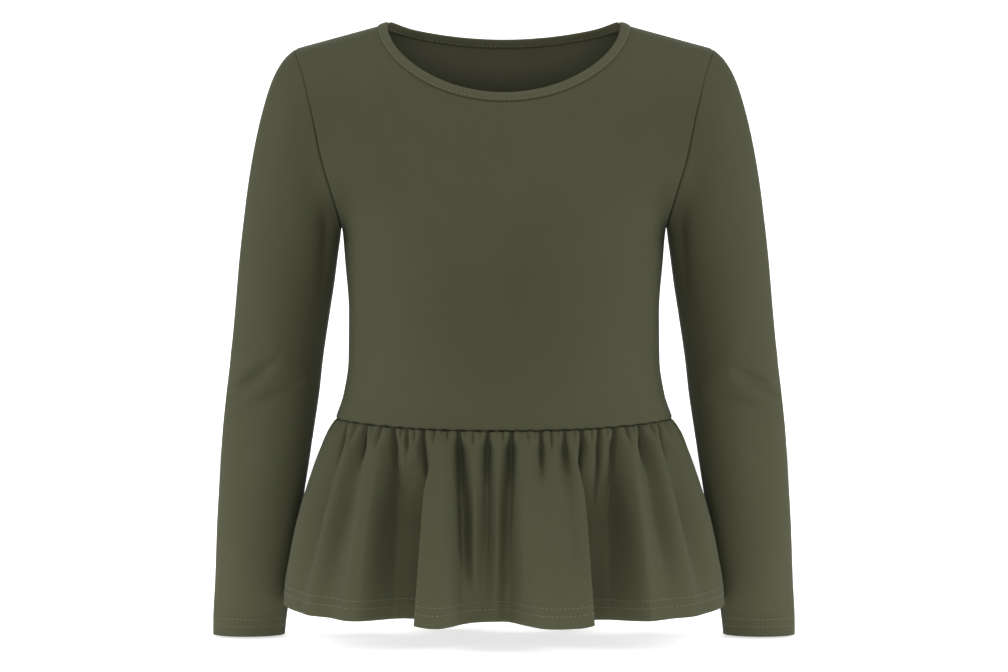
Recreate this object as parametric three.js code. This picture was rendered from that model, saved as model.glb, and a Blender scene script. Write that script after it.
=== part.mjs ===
// A woman's long-sleeved pullover top in plain jersey, standing in the hollow shape of a general figure:
// a front and a back bodice, two set-in sleeves, a narrow neck binding, and a flounce gathered onto the
// waist seam in a front and a back width. Every piece is a thin closed wall of cloth.
//
// Millimetres. +Z is up, -Y is the front and +X is the wearer's left. The origin lies midway between
// the two neck points, on the line of the shoulder seams.
import * as THREE from "three";

const CLOTH = 1.4; // the wall of one layer of jersey
const TURNED_HEM = 2.6; // two layers, where a hem is turned up inside
const SEAM_GAP = 0.4; // between two pieces that are sewn together

const NECK = { half: 126, z: -4.3, frontDrop: 80.5, backDrop: 15.5 };
const SHOULDER = { half: 208, slope: 0.275, round: 72 };
const SHOULDER_TIP_Z = NECK.z - SHOULDER.slope * (SHOULDER.half - NECK.half);
const ARMPIT_Z = -206;
const ARMHOLE = { front: 58, back: 62, bottomRound: 56 };
const WAIST = { sideZ: -396, frontDip: 9.5, backDip: 5, squareness: 2.5 };
const SQUARENESS = 2.35; // 2 makes each cross-section an ellipse, and more makes it squarer
const NECK_SHARE = 0.5; // the share of a bodice panel's top edge that is neckline
const STEEP_NECK = 0.4; // the front neckline's pace at a neck point, against 1 all along a round one
const ARMHOLE_BLEND = 0.15; // the share of half the width over which an armhole runs out into the side

// The bodice by height: half its width at the armhole or the side seam, and its depth at the centre.
const BODICE = [
  { z: -412, half: 173, front: 98, back: 78 },
  { z: -396, half: 168.5, front: 97, back: 75 },
  { z: -372, half: 160.5, front: 97, back: 70 },
  { z: -338, half: 155.5, front: 101, back: 71 },
  { z: -290, half: 155, front: 111, back: 80 },
  { z: -242, half: 158.5, front: 117, back: 89 },
  { z: -206, half: 162, front: 114, back: 93 },
  { z: -179, half: 168.5, front: 108, back: 94 },
  { z: -139, half: 180, front: 96, back: 92 },
  { z: -98, half: 188.5, front: 82, back: 86 },
  { z: -57, half: 198.5, front: 67, back: 76 },
  { z: -27, half: 208, front: 57, back: 65 },
  { z: 0, half: 208, front: 46, back: 54 },
];

// The left sleeve by its length down the outer side: where its outer and inner sides lie, half its
// depth, and how far its middle lies behind the shoulder.
const SLEEVE = [
  { down: 0, outerX: 208, outerZ: -27, innerX: 162, innerZ: -206, depth: 60, back: 2 },
  { down: 14, outerX: 219, outerZ: -37, innerX: 162.9, innerZ: -208, depth: 59, back: 2 },
  { down: 35, outerX: 230.5, outerZ: -56, innerX: 163.3, innerZ: -210.5, depth: 58, back: 2 },
  { down: 66, outerX: 240.5, outerZ: -86, innerX: 163.7, innerZ: -214, depth: 57, back: 2.5 },
  { down: 99, outerX: 248, outerZ: -118, innerX: 164.2, innerZ: -219, depth: 56, back: 3 },
  { down: 137, outerX: 254.5, outerZ: -155, innerX: 165, innerZ: -226, depth: 55, back: 4 },
  { down: 176, outerX: 260, outerZ: -194, innerX: 166.6, innerZ: -238, depth: 54, back: 6 },
  { down: 220, outerX: 265.5, outerZ: -238, innerX: 169.8, innerZ: -260, depth: 53, back: 8.5 },
  { down: 272, outerX: 270.5, outerZ: -290, innerX: 176, innerZ: -296, depth: 51, back: 12 },
  { down: 318, outerX: 275, outerZ: -336, innerX: 182.5, innerZ: -338, depth: 49, back: 15.5 },
  { down: 351, outerX: 278.8, outerZ: -369, innerX: 186, innerZ: -370, depth: 47.5, back: 18 },
  { down: 393, outerX: 283, outerZ: -411, innerX: 191.8, innerZ: -411, depth: 45.5, back: 21 },
  { down: 438, outerX: 286, outerZ: -456, innerX: 198.5, innerZ: -456, depth: 43, back: 24 },
  { down: 488, outerX: 289.5, outerZ: -506, innerX: 206, innerZ: -506, depth: 40, back: 27.5 },
  { down: 538, outerX: 292, outerZ: -556, innerX: 213.5, innerZ: -556, depth: 36.5, back: 31 },
  { down: 583, outerX: 294, outerZ: -601, innerX: 220.2, innerZ: -601, depth: 33.5, back: 33.5 },
  { down: 597, outerX: 294, outerZ: -615, innerX: 221.6, innerZ: -615, depth: 33, back: 34 },
];
const SLEEVE_RINGS = [
  0, 7, 18, 36, 62, 95, 135, 180, 228, 276, 312, 336, 352, 368, 386, 410, 450, 498, 546, 575, 597,
];
const CAP_BLEND = 150; // over this length the sleeve's rings turn from the armhole's outline to ovals
const CUFF_HEM = 22;

// Soft creases across the elbow: where each crosses the outer side, how much it rises towards the front
// middle, its depth and its half-width.
const ELBOW_CREASES = [
  { down: 362, rise: 20, depth: 3.6, width: 8 },
  { down: 384, rise: 10, depth: 2.8, width: 9 },
];
// A crease's share of its depth at the outer side, and the turns round the sleeve over which it runs out.
const CREASE_ENDS = { outerShare: 0.3, start: 1.1, over: 0.9 };

// The flounce by its length down the side seam: half its width, how far the side seam lies in front of
// the shoulder, and the depth of the cloth at the centre, from the side seam's line.
const FLOUNCE = [
  { down: 0, half: 168.5, forward: 0, front: 97, back: 75 },
  { down: 14, half: 175.5, forward: 1, front: 101, back: 81 },
  { down: 38, half: 186, forward: 4, front: 107, back: 92 },
  { down: 62, half: 194.5, forward: 6.5, front: 113.5, back: 102.5 },
  { down: 87, half: 202, forward: 9.5, front: 118.5, back: 112.5 },
  { down: 114, half: 208.5, forward: 12.5, front: 122.5, back: 122.5 },
  { down: 141, half: 213.5, forward: 14.5, front: 126.5, back: 130.5 },
  { down: 165, half: 217.5, forward: 16, front: 130, back: 136 },
  { down: 187, half: 219, forward: 17, front: 132, back: 140 },
];
const FLOUNCE_ROWS = [0, 7, 18, 36, 64, 102, 143, 187];
const FLOUNCE_HEM = 22;
const GATHER_STEPS = 4;

// The crests and troughs of the broad folds, from the wearer's right to left: the place of each on the
// waist seam and on the hem, and how far the cloth stands out there: under the gathers, half way down
// and at the hem.
const FOLDS = [
  { seam: -168.5, hem: -219, upper: 0, middle: 0, low: 0 },
  { seam: -163, hem: -207, upper: 1.5, middle: 3, low: 4 },
  { seam: -152, hem: -187, upper: -3, middle: -4, low: -2 },
  { seam: -143, hem: -171, upper: 2, middle: 3, low: 5 },
  { seam: -134, hem: -158, upper: -2, middle: 1, low: 5 },
  { seam: -124, hem: -142, upper: 3, middle: 3, low: 2 },
  { seam: -108, hem: -120, upper: -7, middle: -15, low: -19 },
  { seam: -99, hem: -110, upper: -3, middle: -17, low: -24 },
  { seam: -78, hem: -90, upper: -9, middle: -20, low: -28 },
  { seam: -64, hem: -76, upper: 4, middle: 8, low: 11 },
  { seam: -55, hem: -61, upper: 3, middle: 9, low: 13 },
  { seam: -44.5, hem: -41, upper: -7, middle: -10, low: -7 },
  { seam: -29, hem: -30, upper: 3, middle: -2, low: -9 },
  { seam: -15, hem: -20, upper: -5, middle: -8, low: -8 },
  { seam: -5, hem: -8, upper: 2, middle: 0, low: -5 },
  { seam: 7.5, hem: 3, upper: -6, middle: -9, low: -8 },
  { seam: 19, hem: 20, upper: 3, middle: 6, low: 6 },
  { seam: 35, hem: 41, upper: -3, middle: 5, low: 12 },
  { seam: 47, hem: 57, upper: 2, middle: 7, low: 14 },
  { seam: 57, hem: 68, upper: -2, middle: 4, low: 13 },
  { seam: 64, hem: 76, upper: 4, middle: 10, low: 12 },
  { seam: 77, hem: 90, upper: -9, middle: -20, low: -29 },
  { seam: 92, hem: 104, upper: -7, middle: -17, low: -27 },
  { seam: 107, hem: 117, upper: -6, middle: -12, low: -18 },
  { seam: 120, hem: 133, upper: 3, middle: 0, low: -4 },
  { seam: 132, hem: 149, upper: -3, middle: -1, low: 4 },
  { seam: 143, hem: 168, upper: 2, middle: 2, low: 2 },
  { seam: 152, hem: 185, upper: -2, middle: 5, low: 8 },
  { seam: 163, hem: 207, upper: 1, middle: -1, low: 1 },
  { seam: 168.5, hem: 219, upper: 0, middle: 0, low: 0 },
];

// The gathers, each a drop-shaped hollow under the seam: its place, its depth and the length it runs down.
const GATHERS = [
  { seam: -167.3, depth: 4, run: 20 },
  { seam: -161, depth: 3.4, run: 12 },
  { seam: -153, depth: 4.7, run: 26 },
  { seam: -144, depth: 4, run: 14 },
  { seam: -135, depth: 6, run: 24 },
  { seam: -120, depth: 4.7, run: 14 },
  { seam: -108, depth: 6.8, run: 38 },
  { seam: -94, depth: 5.4, run: 18 },
  { seam: -86.5, depth: 3.4, run: 9 },
  { seam: -78.5, depth: 6.8, run: 34 },
  { seam: -67, depth: 4, run: 11 },
  { seam: -54.5, depth: 4.3, run: 11 },
  { seam: -44.5, depth: 7.4, run: 36 },
  { seam: -30, depth: 4, run: 12 },
  { seam: -15.5, depth: 6.8, run: 30 },
  { seam: -1, depth: 3.5, run: 9 },
  { seam: 7.5, depth: 6.8, run: 30 },
  { seam: 23, depth: 3.5, run: 9 },
  { seam: 36, depth: 6.2, run: 26 },
  { seam: 45.5, depth: 4.6, run: 16 },
  { seam: 59, depth: 5.4, run: 24 },
  { seam: 68, depth: 3.5, run: 9 },
  { seam: 75.5, depth: 6.8, run: 36 },
  { seam: 92.5, depth: 6.2, run: 42 },
  { seam: 108, depth: 6, run: 22 },
  { seam: 119, depth: 4.7, run: 13 },
  { seam: 133, depth: 6, run: 28 },
  { seam: 143, depth: 4, run: 11 },
  { seam: 151.5, depth: 5.4, run: 22 },
  { seam: 161, depth: 4, run: 14 },
  { seam: 167.3, depth: 3.4, run: 12 },
];
const SLIT = { width: 1.8, skirt: 4.4, narrowShare: 0.55, start: 0.8, opensOver: 5, fullFor: 0.3 };
const PUFF = { out: 3, down: 9 }; // the cloth swells most at this length below the seam
const SIDE_BLEND = 9; // from the side seam, over which the folds grow to their full depth
const FOLDS_GROW = 0.12; // the share of the length, from the seam, over which the folds grow
const FOLD_LEVELS = { upper: 0.1, middle: 0.5, low: 1 }; // where the folds' depths are given
const SWING = 5; // how closely the outward swing of the flare keeps to the sides

// How much lower than the side seams each place of the hem hangs.
const HEM_DROPS = [
  { hem: -219, drop: -4 },
  { hem: -194.5, drop: 1.2 },
  { hem: -154, drop: 4.4 },
  { hem: -101, drop: 2.6 },
  { hem: -91.5, drop: 3.6 },
  { hem: -76, drop: 8.4 },
  { hem: -63, drop: 9 },
  { hem: -7.5, drop: 2.8 },
  { hem: 42, drop: 9.4 },
  { hem: 68.5, drop: 8.4 },
  { hem: 76, drop: 7 },
  { hem: 91, drop: 3.8 },
  { hem: 107, drop: 3.4 },
  { hem: 146, drop: 4.8 },
  { hem: 192.5, drop: 1.6 },
  { hem: 219, drop: -3 },
];

// Two front folds have an edge that laps over the trough beside it, by sliding the cloth across.
const LAPPED_EDGES = [
  { seam: -70, hem: -82 },
  { seam: 69, hem: 81 },
];
const LAP = { width: 6, slide: 7.5, start: 0.06, growsOver: 0.3 };

const BINDING = { width: 9.5, proud: 0.6, thickness: 2.4, dome: [0.12, 0.88] };

const ROWS = { armhole: 11, side: 7 };
const COLUMNS = { neck: 10, shoulder: 6 }; // from the centre to a neck point, and on to the armhole
const SMALL = 0.004; // the step of a surface's parameters from which its directions are worked out
const SEAM_STEPS = 360; // in which the waist seam's length is measured

const OLIVE = new THREE.MeshStandardMaterial({ color: 0x50523c, roughness: 0.9, metalness: 0 });
const OLIVE_DARK = new THREE.MeshStandardMaterial({ color: 0x4c4e39, roughness: 0.9, metalness: 0 });

const clamp = (value, low, high) => Math.min(Math.max(value, low), high);
const mix = (a, b, share) => a + (b - a) * share;
const ease = (share) => {
  const s = clamp(share, 0, 1);
  return s * s * (3 - 2 * s);
};

// A smooth curve through one column of a table against another, which never overshoots its rows.
function curve(table, from, to) {
  const x = table.map((row) => row[from]);
  const y = table.map((row) => row[to]);
  const step = x.slice(1).map((value, i) => (y[i + 1] - y[i]) / (value - x[i]));
  const slope = x.map((_, i) => {
    if (i === 0) return step[0];
    if (i === x.length - 1) return step[i - 1];
    if (step[i - 1] * step[i] <= 0) return 0;
    return (2 * step[i - 1] * step[i]) / (step[i - 1] + step[i]);
  });
  return (at) => {
    const value = clamp(at, x[0], x[x.length - 1]);
    let i = 0;
    while (i < x.length - 2 && value > x[i + 1]) i += 1;
    const width = x[i + 1] - x[i];
    const t = (value - x[i]) / width;
    const rise = y[i + 1] - y[i];
    const a = slope[i] * width - rise;
    const b = rise - slope[i + 1] * width;
    return y[i] + rise * t + t * (1 - t) * (a * (1 - t) + b * t);
  };
}

const halfWidth = curve(BODICE, "z", "half");
const bodiceDepth = { front: curve(BODICE, "z", "front"), back: curve(BODICE, "z", "back") };
const flounceCurve = Object.fromEntries(
  ["half", "forward", "front", "back"].map((name) => [name, curve(FLOUNCE, "down", name)]),
);
const foldCurve = Object.fromEntries(
  ["hem", "upper", "middle", "low"].map((name) => [name, curve(FOLDS, "seam", name)]),
);
const hemDrop = curve(HEM_DROPS, "hem", "drop");
const sleeveColumns = ["outerX", "outerZ", "innerX", "innerZ", "depth", "back"];
const sleeveCurve = Object.fromEntries(
  sleeveColumns.map((name) => [name, curve(SLEEVE, "down", name)]),
);

const sideOf = { front: -1, back: 1 };

// The height of the shoulder seam at x. Inside the neck hole it runs on as the line the neck would have.
function ridge(x) {
  const a = Math.abs(x);
  if (a > NECK.half) return NECK.z - SHOULDER.slope * (a - NECK.half);
  return NECK.z + (SHOULDER.slope * (NECK.half ** 2 - a ** 2)) / (2 * NECK.half);
}

// How far the armhole's edge lies in front of or behind the shoulder, below the shoulder's own rounding.
// Inside the edge the bottom of the armhole runs out softly into the side of the bodice.
function armholeDepth(which, z, across) {
  const low = clamp((ARMPIT_Z + ARMHOLE.bottomRound - z) / ARMHOLE.bottomRound, 0, 1);
  const softness = 0.5 + ease((1 - across) / ARMHOLE_BLEND);
  return ARMHOLE[which] * (1 - low ** 2) ** softness;
}

// The bodice's surface at a place of the front view.
function bodySurface(which, x, z) {
  const across = clamp(Math.abs(x) / halfWidth(z), 0, 1);
  const centre = bodiceDepth[which](z) ** 2 * (1 - across ** SQUARENESS);
  const edge = armholeDepth(which, z, across) ** 2 * across ** 4;
  const below = clamp((ridge(x) - z) / SHOULDER.round, 0, 1);
  return new THREE.Vector3(x, sideOf[which] * Math.sqrt((centre + edge) * (1 - (1 - below) ** 2)), z);
}

// The neckline from a neck point, at turn 0, to the centre, at a quarter turn.
function neckline(which, turn) {
  const drop = which === "front" ? NECK.frontDrop * Math.sin(turn) : NECK.backDrop * Math.sin(turn) ** 2;
  return { x: NECK.half * Math.cos(turn), z: NECK.z - drop };
}

function neckTurn(which, share) {
  const eased = which === "front" ? mix(share ** 2, share, STEEP_NECK) : share;
  return (Math.PI / 2) * eased;
}

function waistZ(which, across) {
  const dip = which === "front" ? WAIST.frontDip : WAIST.backDip;
  return WAIST.sideZ - dip * (1 - Math.abs(across) ** WAIST.squareness);
}

// A point of a bodice panel: u runs from -1 to 1 across it, and down from 0 at the top to 1 at the waist.
function bodicePoint(which, u, down) {
  const a = Math.abs(u);
  const shoulderX = mix(NECK.half, SHOULDER.half, (a - NECK_SHARE) / (1 - NECK_SHARE));
  const top =
    a < NECK_SHARE
      ? neckline(which, neckTurn(which, 1 - a / NECK_SHARE))
      : { x: shoulderX, z: ridge(shoulderX) };
  const lowAcross = Math.sin((Math.PI / 2) * a);
  const z = mix(top.z, waistZ(which, lowAcross), down);
  const across = mix(top.x / halfWidth(top.z), lowAcross, ease(2 * down));
  return bodySurface(which, Math.sign(u) * Math.min(across, 1) * halfWidth(z), z);
}

// The rows of a bodice panel: close together where the armhole turns, with one row at the armpit.
const ARMPIT_SHARE = (SHOULDER_TIP_Z - ARMPIT_Z) / (SHOULDER_TIP_Z - WAIST.sideZ);
const bodiceRows = [];
for (let i = 0; i <= ROWS.armhole; i += 1) {
  bodiceRows.push((ARMPIT_SHARE * (1 - Math.cos((Math.PI * i) / ROWS.armhole))) / 2);
}
for (let i = 1; i <= ROWS.side; i += 1) {
  bodiceRows.push(mix(ARMPIT_SHARE, 1, i / ROWS.side));
}

const halfColumns = [];
for (let i = 1; i <= COLUMNS.neck; i += 1) halfColumns.push((NECK_SHARE * i) / COLUMNS.neck);
for (let i = 1; i <= COLUMNS.shoulder; i += 1) {
  halfColumns.push(mix(NECK_SHARE, 1, i / COLUMNS.shoulder));
}
const bodiceColumns = [...halfColumns.map((u) => -u).reverse(), 0, ...halfColumns];

// The outward normal of a surface given by point(u, v), from small steps that stay within its edges.
function normalOf(point, u, v, uRange, vRange, outward) {
  const uStep = SMALL * (uRange[1] - uRange[0]);
  const vStep = SMALL * (vRange[1] - vRange[0]);
  const along = point(Math.min(u + uStep, uRange[1]), v).sub(point(Math.max(u - uStep, uRange[0]), v));
  const down = point(u, Math.min(v + vStep, vRange[1])).sub(point(u, Math.max(v - vStep, vRange[0])));
  const normal = along.cross(down).normalize();
  return normal.dot(outward) < 0 ? normal.negate() : normal;
}

// The armhole's plane, through the shoulder tip and the armpit: its own direction out to the sleeve.
const armholeUp = new THREE.Vector3(
  SHOULDER.half - halfWidth(ARMPIT_Z),
  0,
  SHOULDER_TIP_Z - ARMPIT_Z,
).normalize();
const armholeOut = new THREE.Vector3(armholeUp.z, 0, -armholeUp.x);

// The left armhole's edge, by row of the bodice panels, and the direction across its cut.
function armholeEdge(which, row) {
  const at = (down) => bodicePoint(which, 1, down);
  const here = at(bodiceRows[row]);
  const step = SMALL / 2;
  const low = Math.max(bodiceRows[row] - step, 0);
  const high = Math.min(bodiceRows[row] + step, ARMPIT_SHARE);
  const tangent = at(high).sub(at(low)).normalize();
  const normal = tangent.cross(armholeOut).normalize();
  const middleX = (SHOULDER.half + halfWidth(ARMPIT_Z)) / 2;
  const middle = new THREE.Vector3(middleX, 0, (SHOULDER_TIP_Z + ARMPIT_Z) / 2);
  if (normal.dot(here.clone().sub(middle)) < 0) normal.negate();
  if (row === 0) normal.copy(armholeUp);
  if (row === ROWS.armhole) normal.copy(armholeUp).negate();
  return { point: here, normal };
}

// Builds a closed wall from a grid of outer points and the inner points behind them. grid[row][column]
// holds { outer, inner }. A round wall's columns meet again.
function wall(grid, round) {
  const rows = grid.length;
  const columns = grid[0].length;
  const positions = [];
  const faces = [];
  for (const layer of ["outer", "inner"]) {
    for (const row of grid) for (const cell of row) positions.push(...cell[layer].toArray());
  }
  const layerSize = rows * columns;
  const outer = (r, c) => r * columns + (c % columns);
  const inner = (r, c) => layerSize + outer(r, c);
  const quad = (a, b, c, d) => faces.push(a, b, c, a, c, d);
  const spans = round ? columns : columns - 1;
  for (let c = 0; c < spans; c += 1) {
    for (let r = 0; r < rows - 1; r += 1) {
      quad(outer(r, c), outer(r + 1, c), outer(r + 1, c + 1), outer(r, c + 1));
      quad(inner(r, c), inner(r, c + 1), inner(r + 1, c + 1), inner(r + 1, c));
    }
    quad(outer(0, c), outer(0, c + 1), inner(0, c + 1), inner(0, c));
    quad(outer(rows - 1, c), inner(rows - 1, c), inner(rows - 1, c + 1), outer(rows - 1, c + 1));
  }
  if (!round) {
    for (let r = 0; r < rows - 1; r += 1) {
      quad(outer(r, 0), inner(r, 0), inner(r + 1, 0), outer(r + 1, 0));
      quad(outer(r, spans), outer(r + 1, spans), inner(r + 1, spans), inner(r, spans));
    }
  }
  return facingOut(positions, faces);
}

// A geometry whose triangles all face out, turned round if its volume comes out negative.
function facingOut(positions, faces) {
  const point = (i) => new THREE.Vector3().fromArray(positions, 3 * i);
  let volume = 0;
  for (let i = 0; i < faces.length; i += 3) {
    volume += point(faces[i]).dot(point(faces[i + 1]).cross(point(faces[i + 2])));
  }
  if (volume < 0) {
    for (let i = 0; i < faces.length; i += 3) {
      [faces[i + 1], faces[i + 2]] = [faces[i + 2], faces[i + 1]];
    }
  }
  const geometry = new THREE.BufferGeometry();
  geometry.setAttribute("position", new THREE.Float32BufferAttribute(positions, 3));
  geometry.setIndex(faces);
  return geometry;
}

const cell = (outer, normal, thickness) => ({
  outer,
  inner: outer.clone().addScaledVector(normal, -thickness),
});

function bodicePanel(which) {
  const side = sideOf[which];
  const point = (u, v) => bodicePoint(which, u, v);
  const seamShift = new THREE.Vector3(0, (side * SEAM_GAP) / 2, 0);
  const waistShift = new THREE.Vector3(0, 0, SEAM_GAP / 2);
  const grid = bodiceRows.map((down, row) =>
    bodiceColumns.map((u) => {
      const hand = Math.sign(u);
      const outer = point(u, down);
      let normal = normalOf(point, u, down, [-1, 1], [0, 1], new THREE.Vector3(u * 0.5, side, 0.3));
      const onShoulder = row === 0 && Math.abs(u) >= NECK_SHARE;
      const onEdge = Math.abs(u) === 1;
      if (onShoulder) normal = new THREE.Vector3(hand * SHOULDER.slope, 0, 1).normalize();
      if (onEdge && row <= ROWS.armhole) {
        normal = armholeEdge(which, row).normal;
        normal.x *= hand;
      }
      if (onEdge && row > ROWS.armhole) {
        const lean = halfWidth(outer.z + 1) - halfWidth(outer.z - 1);
        normal = new THREE.Vector3(hand, 0, -lean / 2).normalize();
      }
      if (down === 1) {
        normal.z = 0;
        normal.normalize();
        outer.add(waistShift);
      }
      if (onShoulder || onEdge) outer.add(seamShift);
      return cell(outer, normal, CLOTH);
    }),
  );
  return wall(grid, false);
}

// How deep the elbow creases press the sleeve in, at a length down it and a turn round from its outer side.
function elbowCrease(down, turn) {
  const front = Math.min(turn, 2 * Math.PI - turn);
  const fade = 1 - ease((front - CREASE_ENDS.start) / CREASE_ENDS.over);
  return ELBOW_CREASES.reduce((sum, crease) => {
    const forward = Math.sin(Math.min(front, Math.PI / 2));
    const middle = crease.down - crease.rise * forward;
    const depth = crease.depth * mix(CREASE_ENDS.outerShare, 1, forward) * fade;
    return sum + depth * Math.exp(-(((down - middle) / crease.width) ** 2));
  }, 0);
}

// The outline of the left armhole as a turn round it: 0 at the shoulder tip, pi at the armpit, front first.
function armholeOutline(turn) {
  const front = turn <= Math.PI;
  const down = (ARMPIT_SHARE * (1 - Math.cos(turn))) / 2;
  return bodicePoint(front ? "front" : "back", 1, down);
}

function sleeveOval(down, turn) {
  const at = (name) => sleeveCurve[name](down);
  const cos = Math.cos(turn);
  return new THREE.Vector3(
    mix(at("innerX"), at("outerX"), (1 + cos) / 2),
    at("back") - at("depth") * Math.sin(turn),
    mix(at("innerZ"), at("outerZ"), (1 + cos) / 2),
  );
}

function sleevePoint(turn, down) {
  const share = clamp(1 - down / CAP_BLEND, 0, 1) ** 2;
  const point = sleeveOval(down, turn);
  point.addScaledVector(armholeOutline(turn).sub(sleeveOval(0, turn)), share);
  const middle = sleeveOval(down, 0).add(sleeveOval(down, Math.PI)).multiplyScalar(0.5);
  const inward = middle.sub(point).normalize();
  return point.addScaledVector(inward, elbowCrease(down, turn));
}

function leftSleeve() {
  const turns = 2 * ROWS.armhole;
  const grid = SLEEVE_RINGS.map((down) =>
    Array.from({ length: turns }, (_, step) => {
      const turn = (Math.PI * step) / ROWS.armhole;
      const thickness = down > SLEEVE_RINGS.at(-1) - CUFF_HEM - 1 ? TURNED_HEM : CLOTH;
      const row = step <= ROWS.armhole ? step : turns - step;
      if (down === 0) {
        const edge = armholeEdge(step <= ROWS.armhole ? "front" : "back", row);
        return cell(edge.point.addScaledVector(armholeOut, SEAM_GAP), edge.normal, thickness);
      }
      const outer = sleevePoint(turn, down);
      const middle = sleeveOval(down, 0).add(sleeveOval(down, Math.PI)).multiplyScalar(0.5);
      const point = (u, v) => sleevePoint((u + 2 * Math.PI) % (2 * Math.PI), v);
      const turnRange = [-1, 2 * Math.PI + 1];
      const downRange = [1, SLEEVE_RINGS.at(-1)];
      const normal = normalOf(point, turn, down, turnRange, downRange, outer.clone().sub(middle));
      return cell(outer, normal, thickness);
    }),
  );
  return wall(grid, true);
}

function mirrored(geometry) {
  const positions = Array.from(geometry.getAttribute("position").array);
  for (let i = 0; i < positions.length; i += 3) positions[i] *= -1;
  return facingOut(positions, Array.from(geometry.index.array));
}

const LENGTH = FLOUNCE.at(-1).down;
const WAIST_HALF = FLOUNCE[0].half;
const HEM_HALF = FLOUNCE.at(-1).half;

// The flounce's plain flare before any fold, by the turn round it from the centre.
function plainFlounce(which, turn, down) {
  const across = Math.abs(Math.sin(turn)) ** SQUARENESS;
  const depth = flounceCurve[which](down) * Math.sqrt(Math.max(1 - across, 0));
  const x = flounceCurve.half(down) * Math.sin(turn);
  return new THREE.Vector3(x, sideOf[which] * depth - flounceCurve.forward(down), 0);
}

// The running length of the waist seam up to a place on it.
const seamTurns = Array.from({ length: SEAM_STEPS + 1 }, (_, i) => Math.PI * (i / SEAM_STEPS - 0.5));
const seamRun = [];
let run = 0;
seamTurns.forEach((turn, i) => {
  const here = plainFlounce("front", turn, 0);
  if (i > 0) run += here.distanceTo(plainFlounce("front", seamTurns[i - 1], 0));
  seamRun.push({ turn, run });
});
const runOfTurn = curve(seamRun, "turn", "run");
const alongSeam = (seamX) => runOfTurn(Math.asin(clamp(seamX / WAIST_HALF, -1, 1)));

const hump = (distance, width) => Math.exp(-((distance / width) ** 2));

// How far the gathers sink the cloth, at a place given by the seam above it.
function gatherIn(seamX, down) {
  const spread = mix(1, HEM_HALF / WAIST_HALF, down / LENGTH);
  const opened = mix(SLIT.start, 1, ease(down / SLIT.opensOver));
  return GATHERS.reduce((sum, gather) => {
    const beside = (alongSeam(seamX) - alongSeam(gather.seam)) * spread;
    const shown = opened * (1 - ease((down - SLIT.fullFor * gather.run) / gather.run));
    const section = mix(hump(beside, SLIT.skirt), hump(beside, SLIT.width), SLIT.narrowShare);
    return sum + gather.depth * shown * section;
  }, 0);
}

// How far the broad folds carry the cloth out, at a level from 0, the waist seam, to 1, the hem.
function foldOut(seamX, level) {
  const { upper, middle, low } = FOLD_LEVELS;
  const toMiddle = ease((level - upper) / (middle - upper));
  const toLow = ease((level - middle) / (low - middle));
  const high = mix(foldCurve.upper(seamX), foldCurve.middle(seamX), toMiddle);
  return mix(high, foldCurve.low(seamX), toLow) * ease(level / FOLDS_GROW);
}

// The place across the front of a line of the cloth that runs from the seam down to the hem.
function foldedX(seamX, hemX, down) {
  const level = down / LENGTH;
  const swing = flounceCurve.half(down) - mix(WAIST_HALF, HEM_HALF, level);
  return mix(seamX, hemX, level) + swing * (seamX / WAIST_HALF) ** SWING;
}

// A point of the flounce, by its place on the waist seam above it and the length down from there.
function flouncePoint(which, seamX, down) {
  const level = down / LENGTH;
  const hemX = foldCurve.hem(seamX);
  const x = foldedX(seamX, hemX, down);
  const turn = Math.asin(clamp(x / flounceCurve.half(down), -1, 1));
  const point = plainFlounce(which, turn, down);
  point.z = mix(waistZ(which, seamX / WAIST_HALF), WAIST.sideZ - LENGTH - hemDrop(hemX), level);
  const along = plainFlounce(which, Math.min(turn + SMALL, Math.PI / 2), down);
  along.sub(plainFlounce(which, Math.max(turn - SMALL, -Math.PI / 2), down)).normalize();
  const outward = new THREE.Vector3(along.y, -along.x, 0).multiplyScalar(-sideOf[which]);
  const fromSide = Math.min(alongSeam(seamX), run - alongSeam(seamX)) / SIDE_BLEND;
  const puff = ((PUFF.out * down) / PUFF.down) * Math.exp(1 - down / PUFF.down);
  const out = foldOut(seamX, level) + puff - gatherIn(seamX, down);
  point.addScaledVector(outward, out * ease(fromSide));
  for (const lap of LAPPED_EDGES) {
    const beside = (x - foldedX(lap.seam, lap.hem, down)) / LAP.width;
    const grown = ease((level - LAP.start) / LAP.growsOver);
    point.addScaledVector(along, -beside * Math.exp(0.5 - beside ** 2 / 2) * LAP.slide * grown);
  }
  return point;
}

// The columns of the flounce: one at each gather, and others evenly round between them.
const gatherTurns = [-1, ...GATHERS.map((gather) => gather.seam / WAIST_HALF), 1].map(Math.asin);
const flounceTurns = gatherTurns.slice(1).flatMap((turn, i) => {
  const before = gatherTurns[i];
  return Array.from({ length: GATHER_STEPS }, (_, step) => mix(before, turn, step / GATHER_STEPS));
});
flounceTurns.push(Math.PI / 2);

function flouncePanel(which) {
  const side = sideOf[which];
  // The back width is the front one turned round, so its folds run the other way across.
  const point = (turn, down) => {
    const made = flouncePoint(which, WAIST_HALF * Math.sin(turn), down);
    if (which === "back") made.x *= -1;
    return made;
  };
  const turns = [flounceTurns[0], flounceTurns.at(-1)];
  const grid = FLOUNCE_ROWS.map((down) =>
    flounceTurns.map((turn) => {
      const outer = point(turn, down);
      const thickness = down > LENGTH - FLOUNCE_HEM ? TURNED_HEM : CLOTH;
      const flare = new THREE.Vector3(outer.x * 0.5, side * 60, 0);
      let normal = normalOf(point, turn, down, turns, [0, LENGTH], flare);
      if (down === 0) outer.z -= SEAM_GAP / 2;
      if (down === 0 || down === LENGTH) normal.setZ(0).normalize();
      if (turns.includes(turn)) {
        normal = new THREE.Vector3(Math.sign(outer.x), 0, 0);
        outer.y += (side * SEAM_GAP) / 2;
      }
      return cell(outer, normal, thickness);
    }),
  );
  return wall(grid, false);
}

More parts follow.
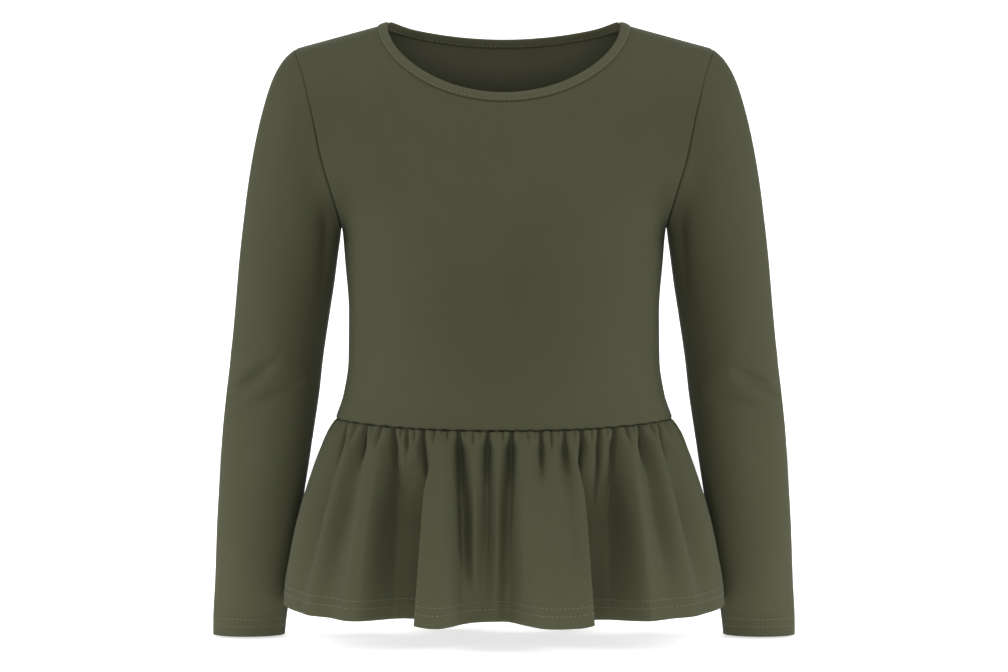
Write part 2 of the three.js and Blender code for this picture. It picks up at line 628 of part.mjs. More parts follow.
// The neck binding: a strip that runs on from the neckline's edge, towards the neck hole.
function neckBinding() {
  const places = [];
  const steps = COLUMNS.neck;
  for (let i = 0; i < steps; i += 1) places.push({ which: "front", hand: 1, share: i / steps });
  for (let i = steps; i > 0; i -= 1) places.push({ which: "front", hand: -1, share: i / steps });
  for (let i = 0; i < steps; i += 1) places.push({ which: "back", hand: -1, share: i / steps });
  for (let i = steps; i > 0; i -= 1) places.push({ which: "back", hand: 1, share: i / steps });
  const columns = places.map(({ which, hand, share }) => {
    const { x, z } = neckline(which, neckTurn(which, share));
    const edge = bodySurface(which, hand * x, z);
    const u = hand * NECK_SHARE * (1 - share);
    const point = (a, b) => bodicePoint(which, a, b);
    let normal = normalOf(point, u, 0, [-1, 1], [0, 1], new THREE.Vector3(u, sideOf[which], 0.3));
    if (share === 0) normal = new THREE.Vector3(hand * SHOULDER.slope, 0, 1).normalize();
    return { edge, normal };
  });
  const count = columns.length;
  const aboveNeck = new THREE.Vector3(0, -10, 60);
  const grid = [0, 1 / 3, 2 / 3, 1].map((share) =>
    columns.map(({ edge, normal }, i) => {
      const tangent = columns[(i + 1) % count].edge.clone().sub(columns[(i + count - 1) % count].edge);
      const inward = tangent.cross(normal).normalize();
      if (inward.dot(aboveNeck.clone().sub(edge)) < 0) inward.negate();
      const bulge = BINDING.proud * Math.sin(Math.PI * mix(...BINDING.dome, share));
      const outer = edge.clone().addScaledVector(inward, mix(SEAM_GAP, BINDING.width, share));
      outer.addScaledVector(normal, bulge);
      return cell(outer, normal, BINDING.thickness);
    }),
  );
  return wall(grid, true);
}

const top = new THREE.Group();
function add(name, geometry, material) {
  const mesh = new THREE.Mesh(geometry, material);
  mesh.name = name;
  top.add(mesh);
}

const sleeve = leftSleeve();
add("bodice_front", bodicePanel("front"), OLIVE);
add("bodice_back", bodicePanel("back"), OLIVE);
add("sleeve_left", sleeve, OLIVE);
add("sleeve_right", mirrored(sleeve), OLIVE);
add("neck_binding", neckBinding(), OLIVE_DARK);
add("flounce_front", flouncePanel("front"), OLIVE);
add("flounce_back", flouncePanel("back"), OLIVE);

export default top;
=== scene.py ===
import bpy
import numpy as np
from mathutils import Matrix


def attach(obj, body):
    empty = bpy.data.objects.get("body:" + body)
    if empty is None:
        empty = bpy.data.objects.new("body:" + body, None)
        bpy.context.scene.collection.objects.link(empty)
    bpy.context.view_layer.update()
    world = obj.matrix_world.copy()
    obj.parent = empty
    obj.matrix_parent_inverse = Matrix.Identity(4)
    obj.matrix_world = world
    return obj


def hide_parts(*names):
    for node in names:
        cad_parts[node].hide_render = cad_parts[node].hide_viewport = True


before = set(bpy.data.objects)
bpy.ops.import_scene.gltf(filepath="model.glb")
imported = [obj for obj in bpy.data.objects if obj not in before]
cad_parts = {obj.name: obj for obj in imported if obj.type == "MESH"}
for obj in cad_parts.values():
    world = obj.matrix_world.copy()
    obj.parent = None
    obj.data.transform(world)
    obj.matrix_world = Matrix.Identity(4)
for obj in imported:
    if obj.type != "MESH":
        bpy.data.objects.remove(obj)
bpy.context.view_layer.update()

# Bodice, front and back.
# Two panels of a fine plain jersey in cotton and viscose, cut slightly waisted. They are overlocked
# together at the shoulders and down the sides from the inside, so each seam shows as a thin groove.
MM = 0.001
CLOTH = 0.9
NECK = {"half": 126, "z": -4.3, -1: 80.5, 1: 15.5}
NECK_ROUND = {-1: 1.17, 1: 2.1}
FRONT_NECK_TURN = {"even": 0.4, "late": 0.6}
SHOULDER = {"half": 208, "slope": 0.275, "round": 72}
SHOULDER_TIP_Z = NECK["z"] - SHOULDER["slope"] * (SHOULDER["half"] - NECK["half"])
ARMPIT_Z = -206
ARMHOLE = {-1: 58, 1: 62, "bottom_round": 56, "fade": 0.15}
WAIST = {"side_z": -396, -1: 9.5, 1: 5}
SQUARENESS = 2.35
NECK_SHARE = 0.5
ARMPIT_SHARE = (SHOULDER_TIP_Z - ARMPIT_Z) / (SHOULDER_TIP_Z - WAIST["side_z"])
SIDES = {"front": -1, "back": 1}
DEPTH = {-1: "front", 1: "back"}


def table(columns, *rows):
    """The rows of a table, each as a dictionary under the names of its columns."""
    return [dict(zip(columns, row)) for row in rows]


BODICE = table(
    ("z", "half", "front", "back"),
    (-412, 173, 98, 78),
    (-396, 168.5, 97, 75),
    (-372, 160.5, 97, 70),
    (-338, 155.5, 101, 71),
    (-290, 155, 111, 80),
    (-242, 158.5, 117, 89),
    (-206, 162, 114, 93),
    (-179, 168.5, 108, 94),
    (-139, 180, 96, 92),
    (-98, 188.5, 82, 86),
    (-57, 198.5, 67, 76),
    (-27, 208, 57, 65),
    (0, 208, 46, 54),
)
SCALLOPS = {"depth": 0.45, "waves": 84, "drift": 2, "drift_waves": 13}
SEAM_GROOVE = {"depth": 1.1, "width": 1.5}
FAR_FROM_EDGE = 99.0


def mix(low, high, share):
    return low + (high - low) * share


def ease(share):
    share = np.clip(share, 0, 1)
    return share * share * (3 - 2 * share)


def hump(distance, width):
    return np.exp(-((distance / width) ** 2))


def unit(vectors):
    return vectors / np.linalg.norm(vectors, axis=-1, keepdims=True)


def closed_line(points):
    """The points with the first one again at the end."""
    return np.concatenate([points, points[:1]])


def curve(table, along, wanted):
    """A smooth curve through one column of a table against another, which never overshoots its rows."""
    x = np.array([row[along] for row in table], float)
    y = np.array([row[wanted] for row in table], float)
    step = np.diff(y) / np.diff(x)
    before, after = step[:-1], step[1:]
    total = np.where(before * after > 0, before + after, 1)
    inner = np.where(before * after > 0, 2 * before * after / total, 0)
    slope = np.concatenate([step[:1], inner, step[-1:]])

    def value(at):
        at = np.clip(at, x[0], x[-1])
        i = np.clip(np.searchsorted(x, at) - 1, 0, len(x) - 2)
        width = x[i + 1] - x[i]
        t = (at - x[i]) / width
        rise = y[i + 1] - y[i]
        return y[i] + rise * t + t * (1 - t) * (
            (slope[i] * width - rise) * (1 - t) + (rise - slope[i + 1] * width) * t
        )

    return value


half_width = curve(BODICE, "z", "half")
bodice_depth = {side: curve(BODICE, "z", name) for side, name in DEPTH.items()}


def ridge(x):
    """The height of the shoulder seam at x, and inside the neck hole the line that the neck would have."""
    a = np.abs(x)
    neck = NECK["half"]
    inside = NECK["z"] + SHOULDER["slope"] * (neck**2 - a**2) / (2 * neck)
    return np.where(a > neck, NECK["z"] - SHOULDER["slope"] * (a - neck), inside)


def body_surface(side, x, z):
    """How far the bodice's cloth stands in front of or behind the shoulder seam."""
    across = np.clip(np.abs(x) / half_width(z), 0, 1)
    low = np.clip((ARMPIT_Z + ARMHOLE["bottom_round"] - z) / ARMHOLE["bottom_round"], 0, 1)
    armhole = ARMHOLE[side] * (1 - low**2) ** (0.5 + ease((1 - across) / ARMHOLE["fade"]))
    full = bodice_depth[side](z) ** 2 * (1 - across**SQUARENESS) + armhole**2 * across**4
    below = np.clip((ridge(x) - z) / SHOULDER["round"], 0, 1)
    return side * np.sqrt(full * (1 - (1 - below) ** 2))


def neckline(side, share):
    """The neckline from a neck point, at share 0, to the centre, at share 1."""
    front_turn = FRONT_NECK_TURN["even"] * share + FRONT_NECK_TURN["late"] * share**2
    turn = np.pi / 2 * (front_turn if side < 0 else share)
    drop = np.sin(turn) ** NECK_ROUND[side]
    return NECK["half"] * np.cos(turn), NECK["z"] - NECK[side] * drop


def waist_z(side, across):
    """The height of the waist seam, which the gathers pull into faint scallops."""
    waves = across * SCALLOPS["waves"] + SCALLOPS["drift"] * np.sin(across * SCALLOPS["drift_waves"])
    scallops = SCALLOPS["depth"] * np.sin(waves) * (1 - across**8)
    return WAIST["side_z"] - WAIST[side] * (1 - np.abs(across) ** 2.5) + scallops


def bodice_points(side, u, down):
    """Points of a panel. u runs from -1 to 1 across it, and down from 0 at the top to 1 at the waist."""
    u, down = np.broadcast_arrays(u, down)
    a = np.abs(u)
    neck_x, neck_z = neckline(side, np.clip(1 - a / NECK_SHARE, 0, 1))
    shoulder_x = mix(NECK["half"], SHOULDER["half"], (a - NECK_SHARE) / (1 - NECK_SHARE))
    top_x = np.where(a < NECK_SHARE, neck_x, shoulder_x)
    top_z = np.where(a < NECK_SHARE, neck_z, ridge(shoulder_x))
    low_across = np.sin(np.pi / 2 * a)
    z = mix(top_z, waist_z(side, low_across), down)
    across = mix(top_x / half_width(top_z), low_across, ease(down / 0.5))
    x = np.sign(u) * np.minimum(across, 1) * half_width(z)
    return np.stack([x, body_surface(side, x, z), z], axis=-1)


def lengths(points, axis):
    """The running length in millimetres along one direction of a grid of points."""
    steps = np.linalg.norm(np.diff(points, axis=axis), axis=-1)
    start = np.zeros_like(np.take(steps, [0], axis=axis))
    return np.concatenate([start, np.cumsum(steps, axis=axis)], axis=axis)


def grid_normals(points, outward, closed=False):
    """Unit normals of a grid of points, on the side that outward points to."""
    if closed:
        wrapped = np.concatenate([points[:, -1:], points, points[:, :1]], axis=1)
        along = np.gradient(wrapped, axis=1)[:, 1:-1]
    else:
        along = np.gradient(points, axis=1)
    normals = np.cross(along, np.gradient(points, axis=0))
    normals /= np.maximum(np.linalg.norm(normals, axis=-1, keepdims=True), 1e-9)
    flip = np.sign(np.sum(normals * outward, axis=(0, 1)).sum())
    return normals * flip


def groove(points, normals, edge):
    """Sinks the cloth into its seams, where edge is the distance to the nearest one."""
    return points - normals * (SEAM_GROOVE["depth"] * hump(edge, SEAM_GROOVE["width"]))[..., None]


def new_piece(name, points, faces):
    """A smooth mesh from points in millimetres, which is left as the only selected and the active piece."""
    mesh = bpy.data.meshes.new(name)
    mesh.from_pydata((points * MM).tolist(), [], faces)
    mesh.polygons.foreach_set("use_smooth", [True] * len(mesh.polygons))
    mesh.update()
    piece = bpy.data.objects.new(name, mesh)
    bpy.context.collection.objects.link(piece)
    bpy.ops.object.select_all(action="DESELECT")
    piece.select_set(True)
    bpy.context.view_layer.objects.active = piece
    return piece


def cloth_mesh(name, points, outward, edge, cloths, hem=None, closed=False, thickness=CLOTH):
    """A shell of cloth through a grid of points, with its own cloth map in metres along rows and columns.

    The first of cloths is its right side, and the second its inside.
    """
    rows, columns = points.shape[:2]
    index = np.arange(rows * columns).reshape(rows, columns)
    right = np.roll(index, -1, axis=1) if closed else index[:, 1:]
    left = index if closed else index[:, :-1]
    faces = np.stack([left[:-1], left[1:], right[1:], right[:-1]], axis=-1).reshape(-1, 4)
    normals = grid_normals(points, outward, closed)
    first = np.cross(points[1, 0] - points[0, 0], points[0, 1] - points[0, 0])
    if np.dot(first, normals[0, 0]) < 0:
        faces = faces[:, ::-1]
    piece = new_piece(name, points.reshape(-1, 3), faces.tolist())

    middle = points.shape[0] // 2
    across = lengths(points, 1)[middle]
    if closed:
        across = np.append(across, across[-1] + np.linalg.norm(points[middle, 0] - points[middle, -1]))
    down = lengths(points, 0)
    across_map = np.broadcast_to(across, (rows, len(across)))
    corner_rows, corner_columns = np.divmod(faces, columns)
    if closed:
        wraps = np.ptp(corner_columns, axis=1) > 1
        corner_turns = np.where(wraps[:, None] & (corner_columns == 0), columns, corner_columns)
    else:
        corner_turns = corner_columns
    cloth_map = np.stack([across_map[corner_rows, corner_turns], down[corner_rows, corner_columns]], axis=-1)
    layer = piece.data.uv_layers.new(name="cloth")
    layer.data.foreach_set("uv", (cloth_map.reshape(-1) * MM).astype(np.float32))
    for label, values in {"seam": edge, "hem": hem}.items():
        attribute = piece.data.attributes.new(label, "FLOAT", "POINT")
        shown = np.full(rows * columns, FAR_FROM_EDGE) if values is None else values.reshape(-1)
        attribute.data.foreach_set("value", shown.astype(np.float32))
    for cloth in cloths:
        piece.data.materials.append(cloth)
    if thickness:
        wall = piece.modifiers.new("wall", "SOLIDIFY")
        wall.thickness = thickness * MM
        wall.offset = -1
        wall.material_offset = len(cloths) - 1
        bpy.ops.object.modifier_apply(modifier=wall.name)
    return piece


def value_node(nodes, links, operation, first, second=None):
    """A Math node fed by sockets or by plain numbers."""
    node = nodes.new("ShaderNodeMath")
    node.operation = operation
    for socket, source in zip(node.inputs, (first, second)):
        if source is None:
            continue
        if isinstance(source, (int, float)):
            socket.default_value = source
        else:
            links.new(source, socket)
    return node.outputs[0]


def colour_mix(nodes, links, blend, share, first, second):
    """A colour Mix node fed by sockets or by plain colours."""
    node = nodes.new("ShaderNodeMix")
    node.data_type = "RGBA"
    node.blend_type = blend
    sources = ((node.inputs["Factor"], share), (node.inputs[6], first), (node.inputs[7], second))
    for socket, source in sources:
        if isinstance(source, (int, float, tuple)):
            socket.default_value = source
        else:
            links.new(source, socket)
    return node.outputs[2]


def ramp_node(nodes, links, source, low, high, low_out, high_out):
    """A smooth step from low_out to high_out as source goes from low to high."""
    node = nodes.new("ShaderNodeMapRange")
    node.interpolation_type = "SMOOTHSTEP"
    node.inputs["From Min"].default_value = low
    node.inputs["From Max"].default_value = high
    node.inputs["To Min"].default_value = low_out
    node.inputs["To Max"].default_value = high_out
    links.new(source, node.inputs["Value"])
    return node.outputs["Result"]


def grey_node(nodes, links, level):
    node = nodes.new("ShaderNodeCombineColor")
    for label in ("Red", "Green", "Blue"):
        links.new(level, node.inputs[label])
    return node.outputs[0]


def bump_node(nodes, links, height, strength, distance):
    node = nodes.new("ShaderNodeBump")
    node.inputs["Strength"].default_value = strength
    node.inputs["Distance"].default_value = distance
    links.new(height, node.inputs["Height"])
    return node.outputs["Normal"]


def new_material(name):
    """A material, its nodes, its links and its Principled shader."""
    material = bpy.data.materials.new(name)
    material.use_nodes = True
    nodes = material.node_tree.nodes
    return material, nodes, material.node_tree.links, nodes["Principled BSDF"]


# The spacing of the wales and courses is in metres. The three kinds of unevenness in the yarn's colour have
# their fineness across and along the wales, in bumps to a metre, and their share in the shade.
WALE = 0.00095
COURSE = 0.00075
HEATHER = {"across": 1300, "along": 900, "detail": 2, "share": 0.16}
STREAKS = {"across": 520, "along": 14, "detail": 2, "share": 0.1}
PATCHES = {"across": 11, "along": 9, "detail": 1, "share": 0.12}
PLAIN_SHADE = 0.81


def knit_group(name, reverse):
    """Jersey in a heathered yarn. Its right side has upright wales of V stitches, its reverse level arcs.
    The hollows between the loops get a darker colour, which is painted shade.
    """
    group = bpy.data.node_groups.new(name, "ShaderNodeTree")
    for label, way in (("Yarn", "INPUT"), ("Hollow_Shade", "INPUT"), ("Color", "OUTPUT")):
        group.interface.new_socket(name=label, in_out=way, socket_type="NodeSocketColor")
    for label in ("Roughness", "Height"):
        group.interface.new_socket(name=label, in_out="OUTPUT", socket_type="NodeSocketFloat")
    nodes, links = group.nodes, group.links
    inputs = nodes.new("NodeGroupInput").outputs
    outputs = nodes.new("NodeGroupOutput").inputs
    cloth = nodes.new("ShaderNodeUVMap")
    cloth.uv_map = "cloth"
    place = nodes.new("ShaderNodeSeparateXYZ")
    links.new(cloth.outputs["UV"], place.inputs[0])

    def math(operation, first, second=None):
        return value_node(nodes, links, operation, first, second)

    wale = math("DIVIDE", place.outputs["X"], WALE)
    across = math("ABSOLUTE", math("SINE", math("MULTIPLY", wale, np.pi)))
    if reverse:
        bend = math("MULTIPLY", math("SINE", math("MULTIPLY", wale, 2 * np.pi)), 0.22)
    else:
        bend = math("MULTIPLY", math("PINGPONG", wale, 0.5), 0.9)
    course = math("ADD", math("DIVIDE", place.outputs["Y"], COURSE), bend)
    loop = math("ABSOLUTE", math("SINE", math("MULTIPLY", course, np.pi)))
    wale_share = 0.25 if reverse else 0.6
    height = math("ADD", math("MULTIPLY", across, wale_share), math("MULTIPLY", loop, 1 - wale_share))

    def noise(kind):
        stretch = nodes.new("ShaderNodeCombineXYZ")
        links.new(math("MULTIPLY", place.outputs["X"], kind["across"]), stretch.inputs["X"])
        links.new(math("MULTIPLY", place.outputs["Y"], kind["along"]), stretch.inputs["Y"])
        node = nodes.new("ShaderNodeTexNoise")
        node.inputs["Scale"].default_value = 1
        node.inputs["Detail"].default_value = kind["detail"]
        links.new(stretch.outputs[0], node.inputs["Vector"])
        return node.outputs["Fac"]

    heather = noise(HEATHER)
    # Painted shade: where the knit is low, between its loops, the yarn is mixed towards the darker hollow
    # colour.
    low = math("MULTIPLY", math("SUBTRACT", 1, height), 0.6)
    yarn = colour_mix(nodes, links, "MIX", low, inputs["Yarn"], inputs["Hollow_Shade"])
    shade = math("MULTIPLY", heather, HEATHER["share"])
    for kind in (STREAKS, PATCHES):
        shade = math("ADD", shade, math("MULTIPLY", noise(kind), kind["share"]))
    grey = grey_node(nodes, links, math("ADD", shade, PLAIN_SHADE))
    links.new(colour_mix(nodes, links, "MULTIPLY", 1.0, yarn, grey), outputs["Color"])
    links.new(math("ADD", 0.78, math("MULTIPLY", heather, 0.14)), outputs["Roughness"])
    links.new(math("ADD", height, math("MULTIPLY", heather, 0.5)), outputs["Height"])
    return group


knit = {
    "face": knit_group("jersey_right_side", reverse=False),
    "reverse": knit_group("jersey_reverse", reverse=True),
}


# The cloth's colour darkens within this reach of a seam, down to this share: painted shade in the seam
# grooves.
SEAM_GROOVE_PAINTED_SHADE = {"reach": 1.3, "darkest": 0.5}
TURN_UP = {"start": 21.2, "end": 22.4, "step": 3.0}


def jersey_material(name, side, yarn, hollow_shade):
    """Jersey whose colour darkens along the seam grooves as painted shade, and a faint step where a hem is
    folded double.
    """
    material, nodes, links, shader = new_material(name)
    cloth = nodes.new("ShaderNodeGroup")
    cloth.node_tree = knit[side]
    cloth.inputs["Yarn"].default_value = yarn
    cloth.inputs["Hollow_Shade"].default_value = hollow_shade
    seam = nodes.new("ShaderNodeAttribute")
    seam.attribute_name = "seam"
    hem = nodes.new("ShaderNodeAttribute")
    hem.attribute_name = "hem"
    # Painted shade: the colour is multiplied darker towards the seams.
    near = ramp_node(
        nodes, links, seam.outputs["Fac"], 0.0, SEAM_GROOVE_PAINTED_SHADE["reach"], SEAM_GROOVE_PAINTED_SHADE["darkest"], 1.0
    )
    dark = grey_node(nodes, links, near)
    colour = colour_mix(nodes, links, "MULTIPLY", 1.0, cloth.outputs["Color"], dark)
    links.new(colour, shader.inputs["Base Color"])
    links.new(cloth.outputs["Roughness"], shader.inputs["Roughness"])
    fold = ramp_node(
        nodes, links, hem.outputs["Fac"], TURN_UP["start"], TURN_UP["end"], TURN_UP["step"], 0.0
    )
    height = value_node(nodes, links, "ADD", cloth.outputs["Height"], fold)
    links.new(bump_node(nodes, links, height, 0.35, 0.00012), shader.inputs["Normal"])
    shader.inputs["Sheen Weight"].default_value = 0.05
    shader.inputs["Sheen Roughness"].default_value = 0.45
    shader.inputs["Sheen Tint"].default_value = (0.75, 0.78, 0.66, 1)
    shader.inputs["Specular IOR Level"].default_value = 0.2
    return material


# Each jersey has a yarn colour and a darker colour for the hollows between its loops; the darker one is
# painted shade.
OLIVE = (0.0640, 0.0660, 0.0345, 1)
OLIVE_HOLLOW_SHADE = (0.0385, 0.0396, 0.0200, 1)
# The reverse side's colours are paler than the right side's: partly the paler reverse of the knit, partly
# painted light on the inside, which lies in shade.
REVERSE_OLIVE_PALER_AND_PAINTED_LIGHT = (0.0780, 0.0785, 0.0460, 1)
REVERSE_HOLLOW_SHADE = (0.0520, 0.0525, 0.0300, 1)
olive_jersey = jersey_material("olive_jersey", "face", OLIVE, OLIVE_HOLLOW_SHADE)
olive_reverse = jersey_material("olive_jersey_reverse", "reverse", REVERSE_OLIVE_PALER_AND_PAINTED_LIGHT, REVERSE_HOLLOW_SHADE)
BOTH_SIDES = (olive_jersey, olive_reverse)

# The grid's lines crowd together beside the seams, at these distances from them in millimetres.
NEAR_EDGE = np.array([0, 0.7, 1.4, 2.2, 3.2])
BODICE_GRID = {"columns": 145, "armhole_rows": 66, "side_rows": 76}
SHARE_PER_MM = {"across": 0.0055, "down": 0.0027}
plain_u = np.linspace(-1, 1, BODICE_GRID["columns"])
edge_u = 1 - NEAR_EDGE[1:] * SHARE_PER_MM["across"]
bodice_u = np.unique(np.round(np.concatenate([plain_u, edge_u, -edge_u]), 6))
armhole_rows = ARMPIT_SHARE * (1 - np.cos(np.linspace(0, np.pi, BODICE_GRID["armhole_rows"]))) / 2
side_rows = np.linspace(ARMPIT_SHARE, 1, BODICE_GRID["side_rows"])
waist_rows = 1 - NEAR_EDGE[1:] * SHARE_PER_MM["down"]
bodice_down = np.unique(np.round(np.concatenate([armhole_rows, side_rows, waist_rows]), 6))


DRAGS = [
    {"slope": 0.55, "below_armpit": 14, "depth": 1.3, "width": 7, "middle_x": 148, "reach": 24},
    {"slope": 0.25, "below_armpit": -16, "depth": 0.9, "width": 9, "middle_x": 150, "reach": 26},
]
DRAG_START_X = 150
PUCKERS = {"depth": 0.7, "below_waist": 6, "reach": 11, "waves": 0.47, "drift": 1.6, "drift_waves": 0.061}


def bodice_creases(points):
    """Soft drags in the cloth: from the armpits towards the bust, and fine puckers at the waist seam."""
    x, z = points[..., 0], points[..., 2]
    a = np.abs(x)
    out = np.zeros_like(x)
    for drag in DRAGS:
        slant = z - ARMPIT_Z - drag["slope"] * (a - DRAG_START_X) + drag["below_armpit"]
        out -= drag["depth"] * hump(slant, drag["width"]) * hump(a - drag["middle_x"], drag["reach"])
    waist = hump(z - WAIST["side_z"] + PUCKERS["below_waist"], PUCKERS["reach"])
    waves = x * PUCKERS["waves"] + PUCKERS["drift"] * np.sin(x * PUCKERS["drift_waves"])
    return out + PUCKERS["depth"] * waist * np.sin(waves)


def bodice_panel(name):
    side = SIDES[name]
    points = bodice_points(side, bodice_u[None, :], bodice_down[:, None])
    facing = np.full(points.shape[:2], side * 60.0)
    outward = np.stack([points[..., 0] * 0.5, facing, 0 * points[..., 2]], axis=-1)
    normals = grid_normals(points, outward)
    across, down = lengths(points, 1), lengths(points, 0)
    edge = np.minimum(np.minimum(across, across[:, -1:] - across), np.minimum(down, down[-1:] - down))
    points = points + normals * (bodice_creases(points) * ease(edge / 12))[..., None]
    panel = cloth_mesh(f"bodice_{name}_cloth", groove(points, normals, edge), outward, edge, BOTH_SIDES)
    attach(panel, "root")
    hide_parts(f"bodice_{name}")
    return panel


for name, flat, area in (("front", (0.50, 0.42), 0.153), ("back", (0.49, 0.42), 0.159)):
    bodice_panel(name)

# Sleeves.
# Each is a long tube of the same jersey, set into the armhole and closed by one seam under the arm. The
# cuff is turned up about 2 cm inside and held by two rows of twin-needle stitching.
SLEEVE = table(
    ("down", "out_x", "out_z", "in_x", "in_z", "depth", "back"),
    (0, 208, -27, 162, -206, 60, 2),
    (14, 219, -37, 162.9, -208, 59, 2),
    (35, 230.5, -56, 163.3, -210.5, 58, 2),
    (66, 240.5, -86, 163.7, -214, 57, 2.5),
    (99, 248, -118, 164.2, -219, 56, 3),
    (137, 254.5, -155, 165, -226, 55, 4),
    (176, 260, -194, 166.6, -238, 54, 6),
    (220, 265.5, -238, 169.8, -260, 53, 8.5),
    (272, 270.5, -290, 176, -296, 51, 12),
    (318, 275, -336, 182.5, -338, 49, 15.5),
    (351, 278.8, -369, 186, -370, 47.5, 18),
    (393, 283, -411, 191.8, -411, 45.5, 21),
    (438, 286, -456, 198.5, -456, 43, 24),
    (488, 289.5, -506, 206, -506, 40, 27.5),
    (538, 292, -556, 213.5, -556, 36.5, 31),
    (583, 294, -601, 220.2, -601, 33.5, 33.5),
    (597, 294, -615, 221.6, -615, 33, 34),
)
SLEEVE_LENGTH = SLEEVE[-1]["down"]
CAP_BLEND = 150
UNDERARM_TURN = np.pi - 0.28
SLEEVE_PARTS = ("out_x", "out_z", "in_x", "in_z", "depth", "back")
sleeve_curve = {name: curve(SLEEVE, "down", name) for name in SLEEVE_PARTS}

# Each crease has the length down the outer side where it would cross, how much it rises from there to the
# front middle, how deep and wide it is, and the turns round the arm between which it shows.
ELBOW_CREASES = {
    "right": table(
        ("down", "rise", "depth", "width", "start", "end"),
        (357, 34, 6.0, 6, 0.22, 1.75),
        (348, 42, -2.4, 6, 0.2, 1.3),
        (377, 21, 5.0, 6.5, 0.85, 2.35),
        (386, 30, -2.0, 7, 0.2, 1.4),
        (312, 16, -1.6, 11, 0.1, 1.2),
        (300, -8, 1.6, 12, 1.6, 2.8),
        (424, 18, 1.6, 11, 0.3, 1.6),
        (352, 28, 4.0, 8, 4.2, 5.9),
        (384, 16, 3.0, 9, 3.6, 5.2),
    ),
    "left": table(
        ("down", "rise", "depth", "width", "start", "end"),
        (352, 20, 5.4, 6, 0.24, 1.7),
        (344, 26, -2.2, 6.5, 0.2, 1.3),
        (374, 12, 4.2, 7, 0.9, 2.4),
        (384, 22, -1.8, 8, 0.2, 1.3),
        (314, 12, -1.5, 11, 0.1, 1.2),
        (306, -6, 1.5, 12, 1.7, 2.8),
        (428, 16, 1.5, 12, 0.4, 1.7),
        (346, 22, 4.2, 8, 4.3, 5.9),
        (388, 18, 2.8, 9, 3.7, 5.3),
    ),
}


# Two long folds run down the inner side of the arm, and shallow waves all over it.
ARM_FOLDS = [
    {"turn": 2.42, "drift": 0.0006, "depth": 3.0, "width": 0.16},
    {"turn": 3.95, "drift": 0, "depth": 1.6, "width": 0.2},
]
ARM_FOLD_SPAN = {"start": 45, "fade_in": 60, "drift_from": 100, "end": 300, "fade_out": 160}
ARM_WAVES = {"depth": 0.7, "length": 47, "slant": 2, "phase": 0.6, "fade_in": 150}
CUFF_PLAIN = 60


def armhole_outline(turn):
    """The left armhole's edge. Turn 0 is the shoulder tip and a half turn the armpit, the front first."""
    down = ARMPIT_SHARE * (1 - np.cos(turn)) / 2
    front = bodice_points(-1, 1.0, down)
    back = bodice_points(1, 1.0, down)
    return np.where((turn <= np.pi)[..., None], front, back)


def sleeve_oval(down, turn):
    at = {name: value(down) for name, value in sleeve_curve.items()}
    share = (1 + np.cos(turn)) / 2
    x = mix(at["in_x"], at["out_x"], share)
    y = at["back"] - at["depth"] * np.sin(turn)
    return np.stack([x, y, mix(at["in_z"], at["out_z"], share)], axis=-1)


def sleeve_creases(hand, down, turn):
    """How far the cloth is pressed in by the creases at the elbow, and by the long soft folds of the arm."""
    sink = np.zeros_like(down + turn)
    for crease in ELBOW_CREASES[hand]:
        across = (turn - crease["start"]) / (crease["end"] - crease["start"])
        shown = np.sin(np.pi * np.clip(across, 0, 1)) ** 0.8
        middle = crease["down"] - crease["rise"] * (1 - np.cos(turn))
        sink = sink + crease["depth"] * shown * hump(down - middle, crease["width"])
    span = ARM_FOLD_SPAN
    fades_in = np.clip((down - span["start"]) / span["fade_in"], 0, 1)
    shown = ease(fades_in * np.clip((span["end"] - down) / span["fade_out"], 0, 1))
    for fold in ARM_FOLDS:
        beside = turn - fold["turn"] - fold["drift"] * (down - span["drift_from"])
        sink = sink + fold["depth"] * shown * hump(beside, fold["width"])
    along = np.sin(down / ARM_WAVES["length"] + ARM_WAVES["slant"] * np.cos(turn))
    waves = ARM_WAVES["depth"] * along * np.sin(turn * 2 + ARM_WAVES["phase"])
    sink = sink + waves * ease(down / ARM_WAVES["fade_in"])
    return sink * ease((SLEEVE_LENGTH - down) / CUFF_PLAIN)


def sleeve_points(hand, down, turn):
    down, turn = np.broadcast_arrays(down, turn)
    share = np.clip(1 - down / CAP_BLEND, 0, 1) ** 2
    start = armhole_outline(turn) - sleeve_oval(np.zeros_like(down), turn)
    points = sleeve_oval(down, turn) + start * share[..., None]
    middle = (sleeve_oval(down, np.zeros_like(turn)) + sleeve_oval(down, np.full_like(turn, np.pi))) / 2
    inward = unit(middle - points)
    return points + inward * sleeve_creases(hand, down, turn)[..., None], -inward


SLEEVE_GRID = {"turns": 144, "rows": 190}
UNDERARM_GROOVE = {"depth": 0.5, "width": 1.1}
sleeve_turn = np.linspace(0, 2 * np.pi, SLEEVE_GRID["turns"], endpoint=False)
near_underarm = UNDERARM_TURN + np.array([-0.045, -0.03, -0.015, 0, 0.015, 0.03, 0.045])
far_turn = sleeve_turn[np.abs(sleeve_turn - UNDERARM_TURN) > 0.06]
sleeve_turn = np.unique(np.concatenate([far_turn, near_underarm]))
sleeve_down = np.unique(np.concatenate([NEAR_EDGE, np.linspace(4.5, SLEEVE_LENGTH, SLEEVE_GRID["rows"])]))


